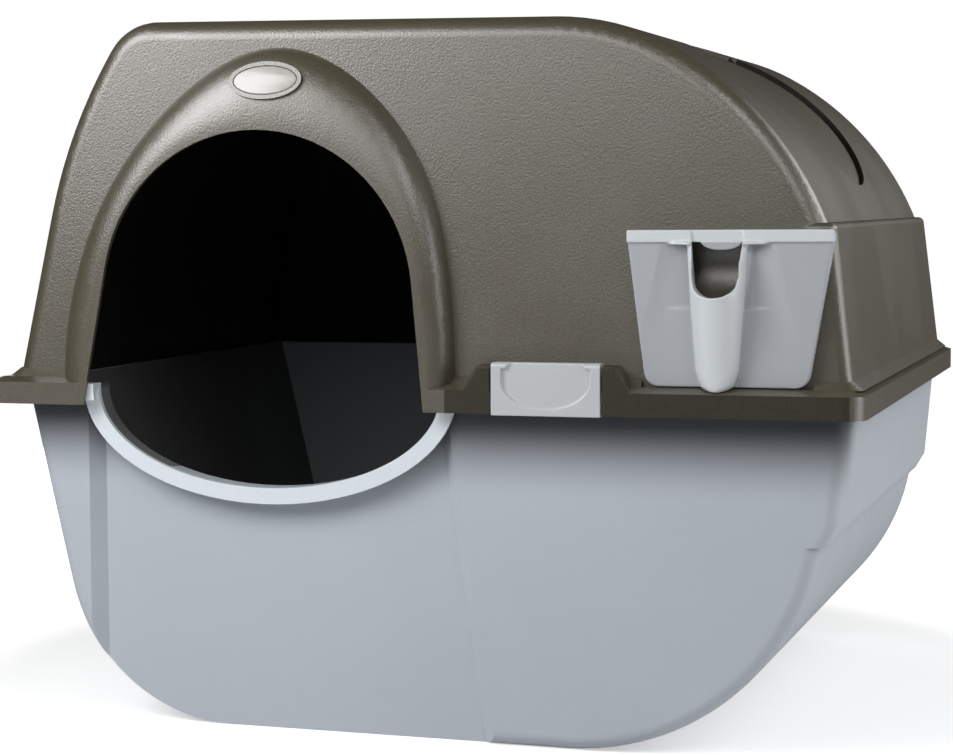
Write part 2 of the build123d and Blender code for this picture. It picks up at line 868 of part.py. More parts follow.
with BuildPart() as cover:
    add(cover_outer_roll)
    add(cover_outer_band)
    add(flange.part)
    add(cove.part)
    add(hood_outer)
    add(grip_outer, mode=Mode.SUBTRACT)
    add(well_outer, mode=Mode.SUBTRACT)
    add(badge_seat.part)
    for bump in bumps:
        add(bump)
    add(cover_space.part, mode=Mode.SUBTRACT)
    add(badge_pocket.part, mode=Mode.SUBTRACT)
    add(cover_entry, mode=Mode.SUBTRACT)
    add(boss_shape.part)
    add(screw_holes.part, mode=Mode.SUBTRACT)
    for gap in gaps:
        add(gap, mode=Mode.SUBTRACT)
    with BuildSketch(front_view(front_wall + 3 * wall)):
        add(slot_outline)
    extrude(amount=5 * wall, mode=Mode.SUBTRACT)

cover.part.label = "cover"
export_step(cover.part, "parts/cover.step")

# Latches
latch_names = ["latch_front", "latch_back_left", "latch_back_right", "latch_left"]
for latch_name, site in zip(latch_names, latch_sites):
    placed = latch_body().moved(site)
    placed.label = latch_name
    export_step(placed, f"parts/{latch_name}.step")

# Badge plate
with BuildPart() as badge:
    with BuildSketch(badge_site):
        Ellipse(badge_half_width, badge_half_height)
    extrude(amount=badge_plate)

badge.part.label = "badge_plate"
export_step(badge.part, "parts/badge_plate.step")

# Waste tray
handle_outer = handle_body(range(len(handle_rises)), 0, plate_front + 1)
handle_inner = handle_body(handle_hollow_stations, handle_wall, plate_front + 4 * plate_thick)
scallop_outer = scallop(0, plate_bottom - 2, plate_top - plate_lip)
scallop_inner = scallop(plate_thick, plate_bottom - 2, plate_top - plate_lip + plate_thick)

wall_rise = plate_top - seam
wall_lean = tan(radians(cover_draft)) * wall_rise

with BuildPart() as behind_wall:
    with BuildSketch(Plane.YZ.offset(plate_top_left - 5)):
        with BuildLine():
            Polyline(
                (plate_root, seam),
                (plate_root + wall_lean, plate_top),
                (plate_root + wall_lean, plate_top + 5),
                (plate_root + 60, plate_top + 5),
                (plate_root + 60, seam),
                close=True,
            )
        make_face()
    extrude(amount=plate_top_right - plate_top_left + 10)

with BuildPart() as overhang_limit:
    with Locations((handle_x, flange_front - handle_overhang - 5, finger_well_z)):
        Box(60, 10, 60)

with BuildPart() as flange_clearance:
    with BuildSketch(Plane.YZ.offset(handle_x - 20)):
        with BuildLine():
            low = flange_top + handle_clearance
            drop = flange_slope_drop * 2
            Polyline(
                (front_wall, low),
                (flange_front + flange_slope_run, low),
                (flange_front - flange_slope_run, low - drop),
                (front_wall, low - drop),
                close=True,
            )
        make_face()
    extrude(amount=40)

with BuildPart() as plate_space:
    with BuildSketch(front_view(plate_root + 5)):
        add(plate_outline(plate_thick))
    extrude(amount=plate_root + 5 - plate_front - plate_thick)
    add(scallop_inner, mode=Mode.SUBTRACT)

with BuildPart() as plate_shell:
    with BuildSketch(front_view(plate_root + 5)):
        add(plate_outline(0))
    extrude(amount=plate_root + 5 - plate_front)
    add(scallop_outer, mode=Mode.SUBTRACT)
    add(handle_outer)
    add(plate_space.part, mode=Mode.SUBTRACT)
    add(handle_inner, mode=Mode.SUBTRACT)
    add(behind_wall.part, mode=Mode.SUBTRACT)
    add(overhang_limit.part, mode=Mode.SUBTRACT)
    add(flange_clearance.part, mode=Mode.SUBTRACT)

with BuildPart() as plate_lip_bar:
    with BuildSketch(front_view(plate_front + 1)):
        with Locations(((plate_top_left + plate_top_right) / 2, plate_top - plate_lip / 2)):
            Rectangle(plate_top_right - plate_top_left - 1, plate_lip)
        with Locations((handle_x, plate_top - plate_lip)):
            Ellipse(tab_half_width, tab_drop)
    extrude(amount=plate_lip_proud + 1)

with BuildPart() as wings:
    with BuildSketch(Plane.XY.offset(plate_top - plate_lip)):
        side = handle_half_widths[-1]
        with BuildLine():
            Polyline(
                (handle_x - side - wing_length, plate_front + 1),
                (handle_x - side, plate_front - handle_reaches[-1]),
                (handle_x + side, plate_front - handle_reaches[-1]),
                (handle_x + side + wing_length, plate_front + 1),
                close=True,
            )
        make_face()
    extrude(amount=-wing_thick)

with BuildPart() as window:
    with BuildSketch(front_view(plate_root + 10)):
        centre_z = window_bottom + window_half_width
        with Locations((handle_x, centre_z)):
            Circle(window_half_width)
        with Locations((handle_x, (centre_z + plate_top - plate_lip) / 2)):
            Rectangle(2 * window_half_width, plate_top - plate_lip - centre_z)
    extrude(amount=60)

with BuildPart() as tub_space:
    with BuildSketch(front_view(plate_back + tray_length - tray_wall)):
        add(tray_outline(-tray_wall))
    extrude(amount=tray_length - tray_wall)
    with BuildSketch(front_view(plate_back + tray_length - tray_wall)):
        with Locations((handle_x, tray_top)):
            Rectangle(tray_top_right - tray_top_left - 2 * tray_wall - 4, 12)
    extrude(amount=tray_length - tray_wall)

with BuildPart() as waste_tray:
    add(plate_shell.part)
    add(wings.part)
    add(window.part, mode=Mode.SUBTRACT)
    add(plate_lip_bar.part)
    with BuildSketch(front_view(plate_back + tray_length)):
        add(tray_outline(0))
    extrude(amount=tray_length + plate_thick / 2)
    add(tub_space.part, mode=Mode.SUBTRACT)

waste_tray.part.label = "waste_tray"
export_step(waste_tray.part, "parts/waste_tray.step")

# Channel that carries the tray, fixed to the cover
channel_path = [
    (channel_left, channel_left_high),
    (channel_left, tray_bottom),
    (channel_right, tray_bottom),
    (channel_right, tray_top + channel_side_gap),
    (channel_right_flange - sheet, channel_flange_low),
    (channel_right_flange - sheet, channel_flange_high),
]
channel_sheet = channel_profile(channel_path)

with BuildPart() as tray_channel:
    add(cover_space.part)
    add(channel_sheet, mode=Mode.INTERSECT)
    add(screw_holes.part, mode=Mode.SUBTRACT)

tray_channel.part.label = "tray_channel"
export_step(tray_channel.part, "parts/tray_channel.step")

# Sifter between the litter side and the tray side
slope_top = sifter_foot + sifter_overlap + sheet
slope_run = channel_left - sheet - sifter_bend
slope_drop = sifter_top - slope_top
sifter_path = [
    (sifter_top_left, sifter_top),
    (sifter_bend, sifter_top),
    (channel_left - sheet, slope_top),
    (channel_left - sheet, sifter_foot),
]
sifter_sheet = channel_profile(sifter_path)
slope_plane = Plane(
    origin=((sifter_bend + channel_left - sheet) / 2, mid_y, (sifter_top + slope_top) / 2),
    x_dir=(0, 1, 0),
    z_dir=(slope_drop, 0, slope_run),
)

with BuildPart() as sifter_grille:
    add(cover_space.part)
    add(sifter_sheet, mode=Mode.INTERSECT)
    add(screw_holes.part, mode=Mode.SUBTRACT)
    with BuildSketch(slope_plane.offset(-2 * sheet)):
        with GridLocations(slot_pitch, slot_length + slot_width, slot_columns, 2):
            Rectangle(slot_width, slot_length)
    extrude(amount=4 * sheet, mode=Mode.SUBTRACT)

sifter_grille.part.label = "sifter_grille"
export_step(sifter_grille.part, "parts/sifter_grille.step")

# Screws of the sifter and the channel
with BuildPart() as sifter_screws:
    with BuildSketch(Plane.XY.offset(sifter_top - sheet)):
        with Locations(*[(roof_screw_x, y) for y in screw_rows]):
            Circle(screw_shank)
    extrude(amount=sheet + screw_depth - 1)
    with BuildSketch(Plane.XY.offset(sifter_top - sheet)):
        with Locations(*[(roof_screw_x, y) for y in screw_rows]):
            RegularPolygon(screw_head, 6)
    extrude(amount=-screw_head_thick)
    with BuildSketch(Plane.YZ.offset(channel_right_flange - sheet)):
        with Locations(*[(y, channel_screw_z) for y in screw_rows]):
            Circle(screw_shank)
    extrude(amount=sheet + screw_depth - 1)
    with BuildSketch(Plane.YZ.offset(channel_right_flange - sheet)):
        with Locations(*[(y, channel_screw_z) for y in screw_rows]):
            RegularPolygon(screw_head, 6)
    extrude(amount=-screw_head_thick)
    with BuildSketch(Plane.YZ.offset(channel_left - 2 * sheet)):
        with Locations(*[(y, foot_screw_z) for y in screw_rows]):
            Circle(screw_shank)
    extrude(amount=2 * sheet)
    with BuildSketch(Plane.YZ.offset(channel_left - 2 * sheet)):
        with Locations(*[(y, foot_screw_z) for y in screw_rows]):
            RegularPolygon(screw_head, 6)
    extrude(amount=-screw_head_thick)

sifter_screws.part.label = "sifter_screws"
export_step(sifter_screws.part, "parts/sifter_screws.step")
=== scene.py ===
"""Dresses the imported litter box: moulded shells, tray, latches, badge, sifter, floor, light and camera."""
import logging
import math
from dataclasses import dataclass, replace
from enum import Enum, IntEnum

import bpy
from mathutils import Matrix, Vector


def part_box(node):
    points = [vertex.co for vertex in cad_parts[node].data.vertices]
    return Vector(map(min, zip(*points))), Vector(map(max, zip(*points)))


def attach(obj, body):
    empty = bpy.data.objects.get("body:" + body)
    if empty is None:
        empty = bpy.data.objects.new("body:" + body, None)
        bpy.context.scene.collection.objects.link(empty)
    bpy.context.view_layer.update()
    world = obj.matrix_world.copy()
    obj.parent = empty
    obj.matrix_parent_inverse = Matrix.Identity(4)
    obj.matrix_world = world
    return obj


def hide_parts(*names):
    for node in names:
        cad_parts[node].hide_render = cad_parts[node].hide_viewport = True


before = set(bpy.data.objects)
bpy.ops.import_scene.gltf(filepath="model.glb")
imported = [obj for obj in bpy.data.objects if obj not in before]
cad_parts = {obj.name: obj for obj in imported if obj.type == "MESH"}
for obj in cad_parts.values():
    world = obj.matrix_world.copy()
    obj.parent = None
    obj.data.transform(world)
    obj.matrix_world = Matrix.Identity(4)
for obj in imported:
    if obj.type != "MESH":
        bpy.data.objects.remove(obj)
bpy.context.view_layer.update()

logging.basicConfig(level=logging.INFO, format="%(message)s")
log = logging.getLogger("litter_box")

Pair = tuple[float, float]
Triple = tuple[float, float, float]
Piece = bpy.types.Object
Material = bpy.types.Material
Tree = bpy.types.NodeTree
Node = bpy.types.Node
Socket = bpy.types.NodeSocket

MM = 0.001
PHOTO_WIDTH = 953
PHOTO_HEIGHT = 755

# Metres for the weld, degrees for the angles, and the node editor's units for the columns.
WELD = 0.00002
FLAT_ANGLE = 0.2
SHARP_ANGLE = 32.0
ROD_CORNERS = 72
TURN_STEPS = 10
COLUMN_STEP = 190


class Body(Enum):
    """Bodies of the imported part."""

    BASE = "base"
    COVER = "cover"
    TRAY = "tray"
    LATCH_FRONT = "latch_front"
    LATCH_BACK_LEFT = "latch_back_left"
    LATCH_BACK_RIGHT = "latch_back_right"
    LATCH_LEFT = "latch_left"


class Sockets(Enum):
    """Socket types of the shared node groups."""

    NUMBER = "NodeSocketFloat"
    COLOUR = "NodeSocketColor"


class Join(Enum):
    """What a boolean step does with the second solid."""

    ADD = "UNION"
    CUT = "DIFFERENCE"


class CoverSlot(IntEnum):
    """Finishes of the cover, in the order of its slots."""

    OUTSIDE = 0
    INSIDE = 1
    WELL = 2
    SKIRT = 3


class PanSlot(IntEnum):
    """Finishes of the base pan, in the order of its slots."""

    OUTSIDE = 0
    INSIDE = 1
    LIP = 2


class FrontSlot(IntEnum):
    """Finishes of the tray's front, in the order of its slots."""

    PLATE = 0
    RIM = 1


def mm(*values: float) -> Vector:
    """A point given in millimetres, in metres."""
    return Vector([value * MM for value in values])


def grey(value: float) -> tuple[float, float, float, float]:
    """An opaque grey."""
    return (value, value, value, 1.0)


@dataclass(frozen=True)
class Room:
    """An upright box of space, from its low to its high corner, in millimetres."""

    low: Triple
    high: Triple

    def holds(self, at: Vector) -> bool:
        """Whether a point in millimetres lies in the room."""
        return all(low < value < high for low, value, high in zip(self.low, at, self.high))

    def middle(self) -> Vector:
        """The room's middle."""
        return (Vector(self.low) + Vector(self.high)) / 2


class Sheet:
    """Adds nodes to one tree, column by column, and links them."""

    def __init__(self, tree: Tree) -> None:
        """Keeps the tree and starts at its left."""
        self.tree = tree
        self.column = 0

    def node(self, kind: str, **values: object) -> Node:
        """Adds one node.

        Args:
            kind: Blender's name for the node.
            values: Properties of the node.

        Returns:
            The new node.
        """
        made = self.tree.nodes.new(kind)
        made.location = (self.column * COLUMN_STEP, 0)
        self.column += 1
        for name, value in values.items():
            setattr(made, name, value)
        return made

    def link(self, source: Socket, target: Socket) -> None:
        """Joins an output to an input."""
        self.tree.links.new(source, target)

    def feed(self, target: Socket, value: object) -> None:
        """Sets an input to a plain value, or links it where the value is an output.

        Args:
            target: The input.
            value: A plain value or another node's output.
        """
        if isinstance(value, Socket):
            self.link(value, target)
        else:
            target.default_value = value

    def sums(self, operation: str, first: object, second: object = 0.0, third: object = 0.0) -> Socket:
        """Adds a Math node.

        Args:
            operation: What it works out, such as MULTIPLY.
            first: First number or output.
            second: Second number or output.
            third: Third number or output.

        Returns:
            The result's output.
        """
        made = self.node("ShaderNodeMath", operation=operation)
        for place, value in enumerate((first, second, third)):
            self.feed(made.inputs[place], value)
        return made.outputs[0]

    def noise(self, place: Socket, scale: object, detail: float = 2.0, roughness: float = 0.5) -> Socket:
        """Adds a Noise Texture.

        Args:
            place: Coordinates.
            scale: Bumps per metre, or an output that gives them.
            detail: How many finer layers it has.
            roughness: How strong the finer layers are.

        Returns:
            The output of its value.
        """
        made = self.node("ShaderNodeTexNoise")
        self.link(place, made.inputs["Vector"])
        self.feed(made.inputs["Scale"], scale)
        self.feed(made.inputs["Detail"], detail)
        self.feed(made.inputs["Roughness"], roughness)
        return made.outputs["Fac"]

    def spread(self, value: object, low: float, high: float, to_low: object, to_high: object) -> Socket:
        """Adds a smooth Map Range node.

        Args:
            value: Number or output to map.
            low: Value that gives the first result.
            high: Value that gives the second result.
            to_low: First result.
            to_high: Second result.

        Returns:
            The result's output.
        """
        made = self.node("ShaderNodeMapRange", interpolation_type="SMOOTHSTEP")
        names = ("Value", "From Min", "From Max", "To Min", "To Max")
        for name, given in zip(names, (value, low, high, to_low, to_high)):
            self.feed(made.inputs[name], given)
        return made.outputs["Result"]

    def blend(self, share: object, first: object, second: object) -> Socket:
        """Adds a colour Mix node.

        Args:
            share: Share of the second colour.
            first: First colour or output.
            second: Second colour or output.

        Returns:
            The mixed colour's output.
        """
        made = self.node("ShaderNodeMix", data_type="RGBA")
        self.feed(made.inputs["Factor"], share)
        self.feed(made.inputs[6], first)
        self.feed(made.inputs[7], second)
        return made.outputs[2]


def new_group(
    name: str, inputs: dict[str, tuple[Sockets, object]], outputs: dict[str, Sockets]
) -> tuple[Sheet, Node, Node]:
    """Starts a shared node group.

    Args:
        name: Name of the group.
        inputs: Each input's type and usual value.
        outputs: Each output's type.

    Returns:
        The sheet of its tree, its Group Input and its Group Output.
    """
    tree = bpy.data.node_groups.new(name, "ShaderNodeTree")
    for label, (kind, value) in inputs.items():
        socket = tree.interface.new_socket(label, in_out="INPUT", socket_type=kind.value)
        socket.default_value = value
    for label, kind in outputs.items():
        tree.interface.new_socket(label, in_out="OUTPUT", socket_type=kind.value)
    sheet = Sheet(tree)
    entry = sheet.node("NodeGroupInput")
    end = tree.nodes.new("NodeGroupOutput")
    return sheet, entry, end


def make_grain_group() -> Tree:
    """Grain of a textured mould: fine pebbles with softer waves under them.

    Returns:
        The node group.
    """
    fine_scale = 0.7
    fine_share = 0.8
    pit_deep = 0.75
    pit_shallow = 1.25
    sheet, entry, end = new_group(
        "moulded_grain",
        {
            "Pebbles": (Sockets.NUMBER, 1100.0),
            "Waves": (Sockets.NUMBER, 60.0),
            "Wave Share": (Sockets.NUMBER, 0.3),
        },
        {"Height": Sockets.NUMBER, "Pits": Sockets.NUMBER},
    )
    place = sheet.node("ShaderNodeTexCoord").outputs["Object"]
    cells = sheet.node("ShaderNodeTexVoronoi", feature="SMOOTH_F1")
    sheet.link(place, cells.inputs["Vector"])
    sheet.link(entry.outputs["Pebbles"], cells.inputs["Scale"])
    fine = sheet.noise(place, sheet.sums("MULTIPLY", entry.outputs["Pebbles"], fine_scale), 3.0, 0.6)
    raised = sheet.sums("SUBTRACT", 1.0, cells.outputs["Distance"])
    pebble = sheet.sums("MULTIPLY_ADD", fine, fine_share, raised)
    wave = sheet.noise(place, entry.outputs["Waves"])
    height = sheet.sums("MULTIPLY_ADD", wave, entry.outputs["Wave Share"], pebble)
    sheet.link(height, end.inputs["Height"])
    sheet.link(sheet.spread(pebble, pit_deep, pit_shallow, 1.0, 0.0), end.inputs["Pits"])
    end.location = (sheet.column * COLUMN_STEP, 0)
    return sheet.tree


def make_tone_group() -> Tree:
    """Slow drift of a plastic's colour, with darker pits.

    Returns:
        The node group.
    """
    drift_low = 0.35
    drift_high = 0.65
    sheet, entry, end = new_group(
        "plastic_tone",
        {
            "Colour": (Sockets.COLOUR, grey(0.5)),
            "Deep Colour": (Sockets.COLOUR, grey(0.4)),
            "Pits": (Sockets.NUMBER, 0.0),
            "Pit Share": (Sockets.NUMBER, 0.3),
            "Drift Size": (Sockets.NUMBER, 9.0),
            "Drift Share": (Sockets.NUMBER, 0.3),
        },
        {"Colour": Sockets.COLOUR, "Drift": Sockets.NUMBER},
    )
    place = sheet.node("ShaderNodeTexCoord").outputs["Object"]
    cloud = sheet.noise(place, entry.outputs["Drift Size"], 3.0, 0.55)
    drift = sheet.spread(cloud, drift_low, drift_high, 0.0, 1.0)
    shade = sheet.sums("MULTIPLY", drift, entry.outputs["Drift Share"])
    pits = sheet.sums("MULTIPLY", entry.outputs["Pits"], entry.outputs["Pit Share"])
    amount = sheet.sums("MINIMUM", sheet.sums("ADD", shade, pits), 1.0)
    mixed = sheet.blend(amount, entry.outputs["Colour"], entry.outputs["Deep Colour"])
    sheet.link(mixed, end.inputs["Colour"])
    sheet.link(drift, end.inputs["Drift"])
    end.location = (sheet.column * COLUMN_STEP, 0)
    return sheet.tree


@dataclass(frozen=True)
class MouldedPlastic:
    """Finish of an injection-moulded piece, which can carry a painted shadow on its colour.

    Args:
        name: Name of the material.
        colour: Linear colour of its raised grain.
        deep: Linear colour of its pits.
        roughness: Roughness of the raised grain.
        pebbles: Grain cells per metre.
        depth: Depth of the grain in metres.
        pit_share: How much the pits darken the colour.
        specular: Specular level.
        matte: How much rougher the slow drift makes it.
        drift_share: How much the slow drift darkens it.
        metallic: Metallic share.
        index: Index of refraction, higher for a plastic with more sheen.
        shade_low: Height in metres where the painted shadow begins.
        shade_high: Height where the painted shadow is darkest.
        shade_share: How dark the painted shadow is.
        shade_left: Share of the colour that the painted shadow keeps where it is darkest.
        shade_front: Depth in metres where the painted shadow is full.
        shade_back: Depth where the painted shadow has faded out.
    """

    name: str
    colour: Triple
    deep: Triple
    roughness: float
    pebbles: float
    depth: float
    pit_share: float
    specular: float
    matte: float = 0.05
    drift_share: float = 0.2
    metallic: float = 0.0
    index: float = 1.5
    shade_low: float = 9.0
    shade_high: float = 10.0
    shade_share: float = 0.0
    shade_left: float = 0.08
    shade_front: float = -0.215
    shade_back: float = -0.165

    def build(self, groups: dict[str, Tree]) -> Material:
        """Makes the material.

        Args:
            groups: The shared node groups by name.

        Returns:
            The material.
        """
        material = bpy.data.materials.new(self.name)
        material.use_nodes = True
        tree = material.node_tree
        tree.nodes.clear()
        sheet = Sheet(tree)
        grain = sheet.node("ShaderNodeGroup", node_tree=groups["grain"])
        grain.inputs["Pebbles"].default_value = self.pebbles
        tone = sheet.node("ShaderNodeGroup", node_tree=groups["tone"])
        tone.inputs["Colour"].default_value = (*self.colour, 1.0)
        tone.inputs["Deep Colour"].default_value = (*self.deep, 1.0)
        tone.inputs["Pit Share"].default_value = self.pit_share
        tone.inputs["Drift Share"].default_value = self.drift_share
        sheet.link(grain.outputs["Pits"], tone.inputs["Pits"])
        rough = sheet.spread(tone.outputs["Drift"], 0.0, 1.0, self.roughness, self.roughness + self.matte)
        bump = sheet.node("ShaderNodeBump")
        bump.inputs["Distance"].default_value = self.depth
        bump.inputs["Strength"].default_value = 1.0
        sheet.link(grain.outputs["Height"], bump.inputs["Height"])
        shader = sheet.node("ShaderNodeBsdfPrincipled")
        sheet.link(self.shaded(sheet, tone.outputs["Colour"]), shader.inputs["Base Color"])
        sheet.link(rough, shader.inputs["Roughness"])
        sheet.link(bump.outputs["Normal"], shader.inputs["Normal"])
        shader.inputs["Specular IOR Level"].default_value = self.specular
        shader.inputs["Metallic"].default_value = self.metallic
        shader.inputs["IOR"].default_value = self.index
        out = sheet.node("ShaderNodeOutputMaterial")
        sheet.link(shader.outputs["BSDF"], out.inputs["Surface"])
        return material

    def shaded(self, sheet: Sheet, colour: Socket) -> Socket:
        """Lays a painted shadow over the colour, darker upwards and towards the front, for the shade under
        the cover's flange.

        Args:
            sheet: Sheet of the material's tree.
            colour: Output of the plain colour.

        Returns:
            The output of the colour with its painted shadow.
        """
        place = sheet.node("ShaderNodeSeparateXYZ")
        sheet.link(sheet.node("ShaderNodeTexCoord").outputs["Object"], place.inputs[0])
        # Painted shadow: full at the front, fading towards the back, and darker with height.
        ahead = sheet.spread(place.outputs["Y"], self.shade_front, self.shade_back, self.shade_share, 0.0)
        band = sheet.spread(place.outputs["Z"], self.shade_low, self.shade_high, 0.0, ahead)
        dim = tuple(value * self.shade_left for value in self.colour) + (1.0,)
        return sheet.blend(band, colour, dim)


TAUPE_SHELL = MouldedPlastic(
    name="taupe_shell",
    colour=(0.088, 0.075, 0.044),
    deep=(0.040, 0.034, 0.019),
    roughness=0.36,
    pebbles=900.0,
    depth=0.0001,
    pit_share=0.45,
    specular=0.85,
    index=1.8,
)
# Painted shade: the flange skirt's front is coloured darker than the shell, standing in for the shade on it.
SKIRT_TAUPE_PAINTED_SHADE = replace(
    TAUPE_SHELL,
    name="skirt_taupe_painted_shade",
    colour=(0.044, 0.040, 0.026),
    deep=(0.026, 0.023, 0.014),
    roughness=0.5,
    specular=0.3,
    index=1.5,
)
# Painted light: the finger well is the shell's plastic coloured far paler, standing in for the light on it.
WELL_TAUPE_PAINTED_LIGHT = MouldedPlastic(
    name="well_taupe_painted_light",
    colour=(0.330, 0.300, 0.270),
    deep=(0.300, 0.270, 0.240),
    roughness=0.30,
    matte=0.03,
    pebbles=1800.0,
    depth=0.00001,
    pit_share=0.1,
    specular=0.9,
)
# Painted shade: the shells' insides are the same plastic, coloured near black for the shade inside them.
SHELL_INSIDE_PAINTED_SHADE = MouldedPlastic(
    name="shell_inside_painted_shade",
    colour=(0.016, 0.015, 0.012),
    deep=(0.008, 0.008, 0.006),
    roughness=0.55,
    matte=0.1,
    pebbles=900.0,
    depth=0.0001,
    pit_share=0.35,
    specular=0.3,
)
# Blue-grey of the base pan with a painted shadow: darker at the top of its front, where the cover's flange
# casts shade.
BLUE_GREY_PAN_PAINTED_SHADOW = MouldedPlastic(
    name="blue_grey_pan_painted_shadow",
    colour=(0.520, 0.560, 0.615),
    deep=(0.472, 0.508, 0.558),
    roughness=0.40,
    matte=0.06,
    pebbles=1500.0,
    depth=0.00007,
    pit_share=0.2,
    specular=0.2,
    shade_low=0.150,
    shade_high=0.202,
    shade_share=0.93,
)
# Painted light: the entry lip is coloured paler than the pan, standing in for the light on its front.
LIP_PALE_PAINTED_LIGHT = MouldedPlastic(
    name="lip_pale_painted_light",
    colour=(0.790, 0.845, 0.900),
    deep=(0.730, 0.785, 0.840),
    roughness=0.30,
    pebbles=1500.0,
    depth=0.00005,
    pit_share=0.15,
    specular=0.6,
)
# Painted shade: the pan's inside is coloured darker than its outside, for the shade inside it.
PAN_INSIDE_PAINTED_SHADE = replace(
    SHELL_INSIDE_PAINTED_SHADE, name="pan_inside_painted_shade", colour=(0.170, 0.180, 0.170), deep=(0.125, 0.133, 0.125)
)
PALE_TRAY = MouldedPlastic(
    name="pale_tray",
    colour=(0.450, 0.472, 0.500),
    deep=(0.410, 0.430, 0.455),
    roughness=0.32,
    pebbles=1700.0,
    depth=0.00003,
    pit_share=0.12,
    specular=0.9,
)
# Painted light: the tray's lip and handle pouch are coloured paler than the plate, for the light on them.
PALE_RIM_PAINTED_LIGHT = replace(PALE_TRAY, name="pale_rim_painted_light", colour=(0.700, 0.735, 0.760), deep=(0.655, 0.690, 0.715))
PALE_LATCH = replace(PALE_TRAY, name="pale_latch", colour=(0.570, 0.595, 0.615), deep=(0.525, 0.550, 0.570))
BADGE_PEARL = MouldedPlastic(
    name="badge_pearl",
    colour=(0.36, 0.34, 0.31),
    deep=(0.30, 0.29, 0.28),
    roughness=0.16,
    pebbles=2500.0,
    depth=0.00001,
    pit_share=0.1,
    drift_share=0.4,
    specular=0.9,
)
SCREW_STEEL = MouldedPlastic(
    name="screw_steel",
    colour=(0.45, 0.45, 0.46),
    deep=(0.30, 0.30, 0.31),
    roughness=0.32,
    matte=0.1,
    pebbles=2600.0,
    depth=0.00002,
    pit_share=0.3,
    drift_share=0.3,
    specular=0.5,
    metallic=1.0,
)


class Finishes:
    """All the materials, built once."""

    def __init__(self) -> None:
        """Builds the node groups and then each material."""
        groups = {"grain": make_grain_group(), "tone": make_tone_group()}
        wanted = (
            TAUPE_SHELL, SKIRT_TAUPE_PAINTED_SHADE, WELL_TAUPE_PAINTED_LIGHT, SHELL_INSIDE_PAINTED_SHADE, BLUE_GREY_PAN_PAINTED_SHADOW, LIP_PALE_PAINTED_LIGHT, PAN_INSIDE_PAINTED_SHADE,
            PALE_TRAY, PALE_RIM_PAINTED_LIGHT, PALE_LATCH, BADGE_PEARL, SCREW_STEEL,
        )
        self.made = {finish.name: finish.build(groups) for finish in wanted}

    def dress(self, piece: Piece, *finishes: MouldedPlastic) -> None:
        """Gives a piece its finishes, the first of them all over.

        Args:
            piece: The piece.
            finishes: One finish for each of its slots.
        """
        piece.data.materials.clear()
        for finish in finishes:
            piece.data.materials.append(self.made[finish.name])
        piece.data.polygons.foreach_set("material_index", [0] * len(piece.data.polygons))
        piece.data.update()


def only(piece: Piece) -> None:
    """Selects one piece and makes it active."""
    if bpy.context.object and bpy.context.object.mode != "OBJECT":
        bpy.ops.object.mode_set(mode="OBJECT")
    bpy.ops.object.select_all(action="DESELECT")
    piece.select_set(True)
    bpy.context.view_layer.objects.active = piece


def edit_all(piece: Piece) -> None:
    """Goes into edit mode with a piece's whole mesh selected."""
    only(piece)
    bpy.ops.object.mode_set(mode="EDIT")
    bpy.ops.mesh.select_all(action="SELECT")


def merged_copy(node: str, name: str) -> Piece:
    """Copies a CAD node's mesh, joins its loose triangles and makes flat regions single faces.

    Args:
        node: The CAD node.
        name: Name of the copy.

    Returns:
        The copy.
    """
    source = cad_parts[node]
    piece = bpy.data.objects.new(name, source.data.copy())
    bpy.context.scene.collection.objects.link(piece)
    only(piece)
    bpy.ops.mesh.customdata_custom_splitnormals_clear()
    edit_all(piece)
    bpy.ops.mesh.remove_doubles(threshold=WELD)
    bpy.ops.mesh.dissolve_limited(angle_limit=math.radians(FLAT_ANGLE))
    bpy.ops.object.mode_set(mode="OBJECT")
    return piece


def soften(piece: Piece, width: float, segments: int = 2) -> None:
    """Rounds a piece's sharp edges and smooths its curved faces.

    Args:
        piece: The piece.
        width: Width of the rounding in metres.
        segments: Faces across the rounding.
    """
    only(piece)
    rounding = piece.modifiers.new("rounded_edges", "BEVEL")
    rounding.limit_method = "ANGLE"
    rounding.angle_limit = math.radians(SHARP_ANGLE)
    rounding.width = width
    rounding.segments = segments
    rounding.use_clamp_overlap = True
    rounding.harden_normals = False
    bpy.ops.object.modifier_apply(modifier=rounding.name)
    bpy.ops.object.shade_smooth_by_angle(angle=math.radians(SHARP_ANGLE))


def flatten_shading(piece: Piece) -> None:
    """Makes wide flat faces shade flat right up to their rounded edges.

    Args:
        piece: The piece.
    """
    only(piece)
    weighing = piece.modifiers.new("flat_shading", "WEIGHTED_NORMAL")
    weighing.mode = "FACE_AREA"
    weighing.weight = 50
    weighing.keep_sharp = True
    bpy.ops.object.modifier_apply(modifier=weighing.name)


def keep_side(piece: Piece, y: float, front: bool) -> None:
    """Cuts a piece at a depth, closes it, and keeps its front or its back.

    Args:
        piece: The piece.
        y: Depth of the cut in millimetres.
        front: Whether the front stays.
    """
    edit_all(piece)
    bpy.ops.mesh.bisect(
        plane_co=mm(0, y, 0), plane_no=(0, 1, 0), use_fill=True, clear_outer=front, clear_inner=not front
    )
    bpy.ops.object.mode_set(mode="OBJECT")


def part_faces(piece: Piece, at: Vector, way: Triple) -> None:
    """Parts the faces that cross a plane, so that each side can have its own finish.

    Args:
        piece: The piece.
        at: A point of the plane, in metres.
        way: The way the plane faces.
    """
    edit_all(piece)
    bpy.ops.mesh.bisect(plane_co=at, plane_no=way)
    bpy.ops.object.mode_set(mode="OBJECT")


def settle(piece: Piece) -> None:
    """Moves a piece's place, turn and scale into its mesh."""
    only(piece)
    bpy.ops.object.transform_apply(location=True, rotation=True, scale=True)


def end_edit() -> None:
    """Turns the edited mesh's faces outwards and goes back to object mode."""
    bpy.ops.mesh.select_all(action="SELECT")
    bpy.ops.mesh.normals_make_consistent(inside=False)
    bpy.ops.object.mode_set(mode="OBJECT")


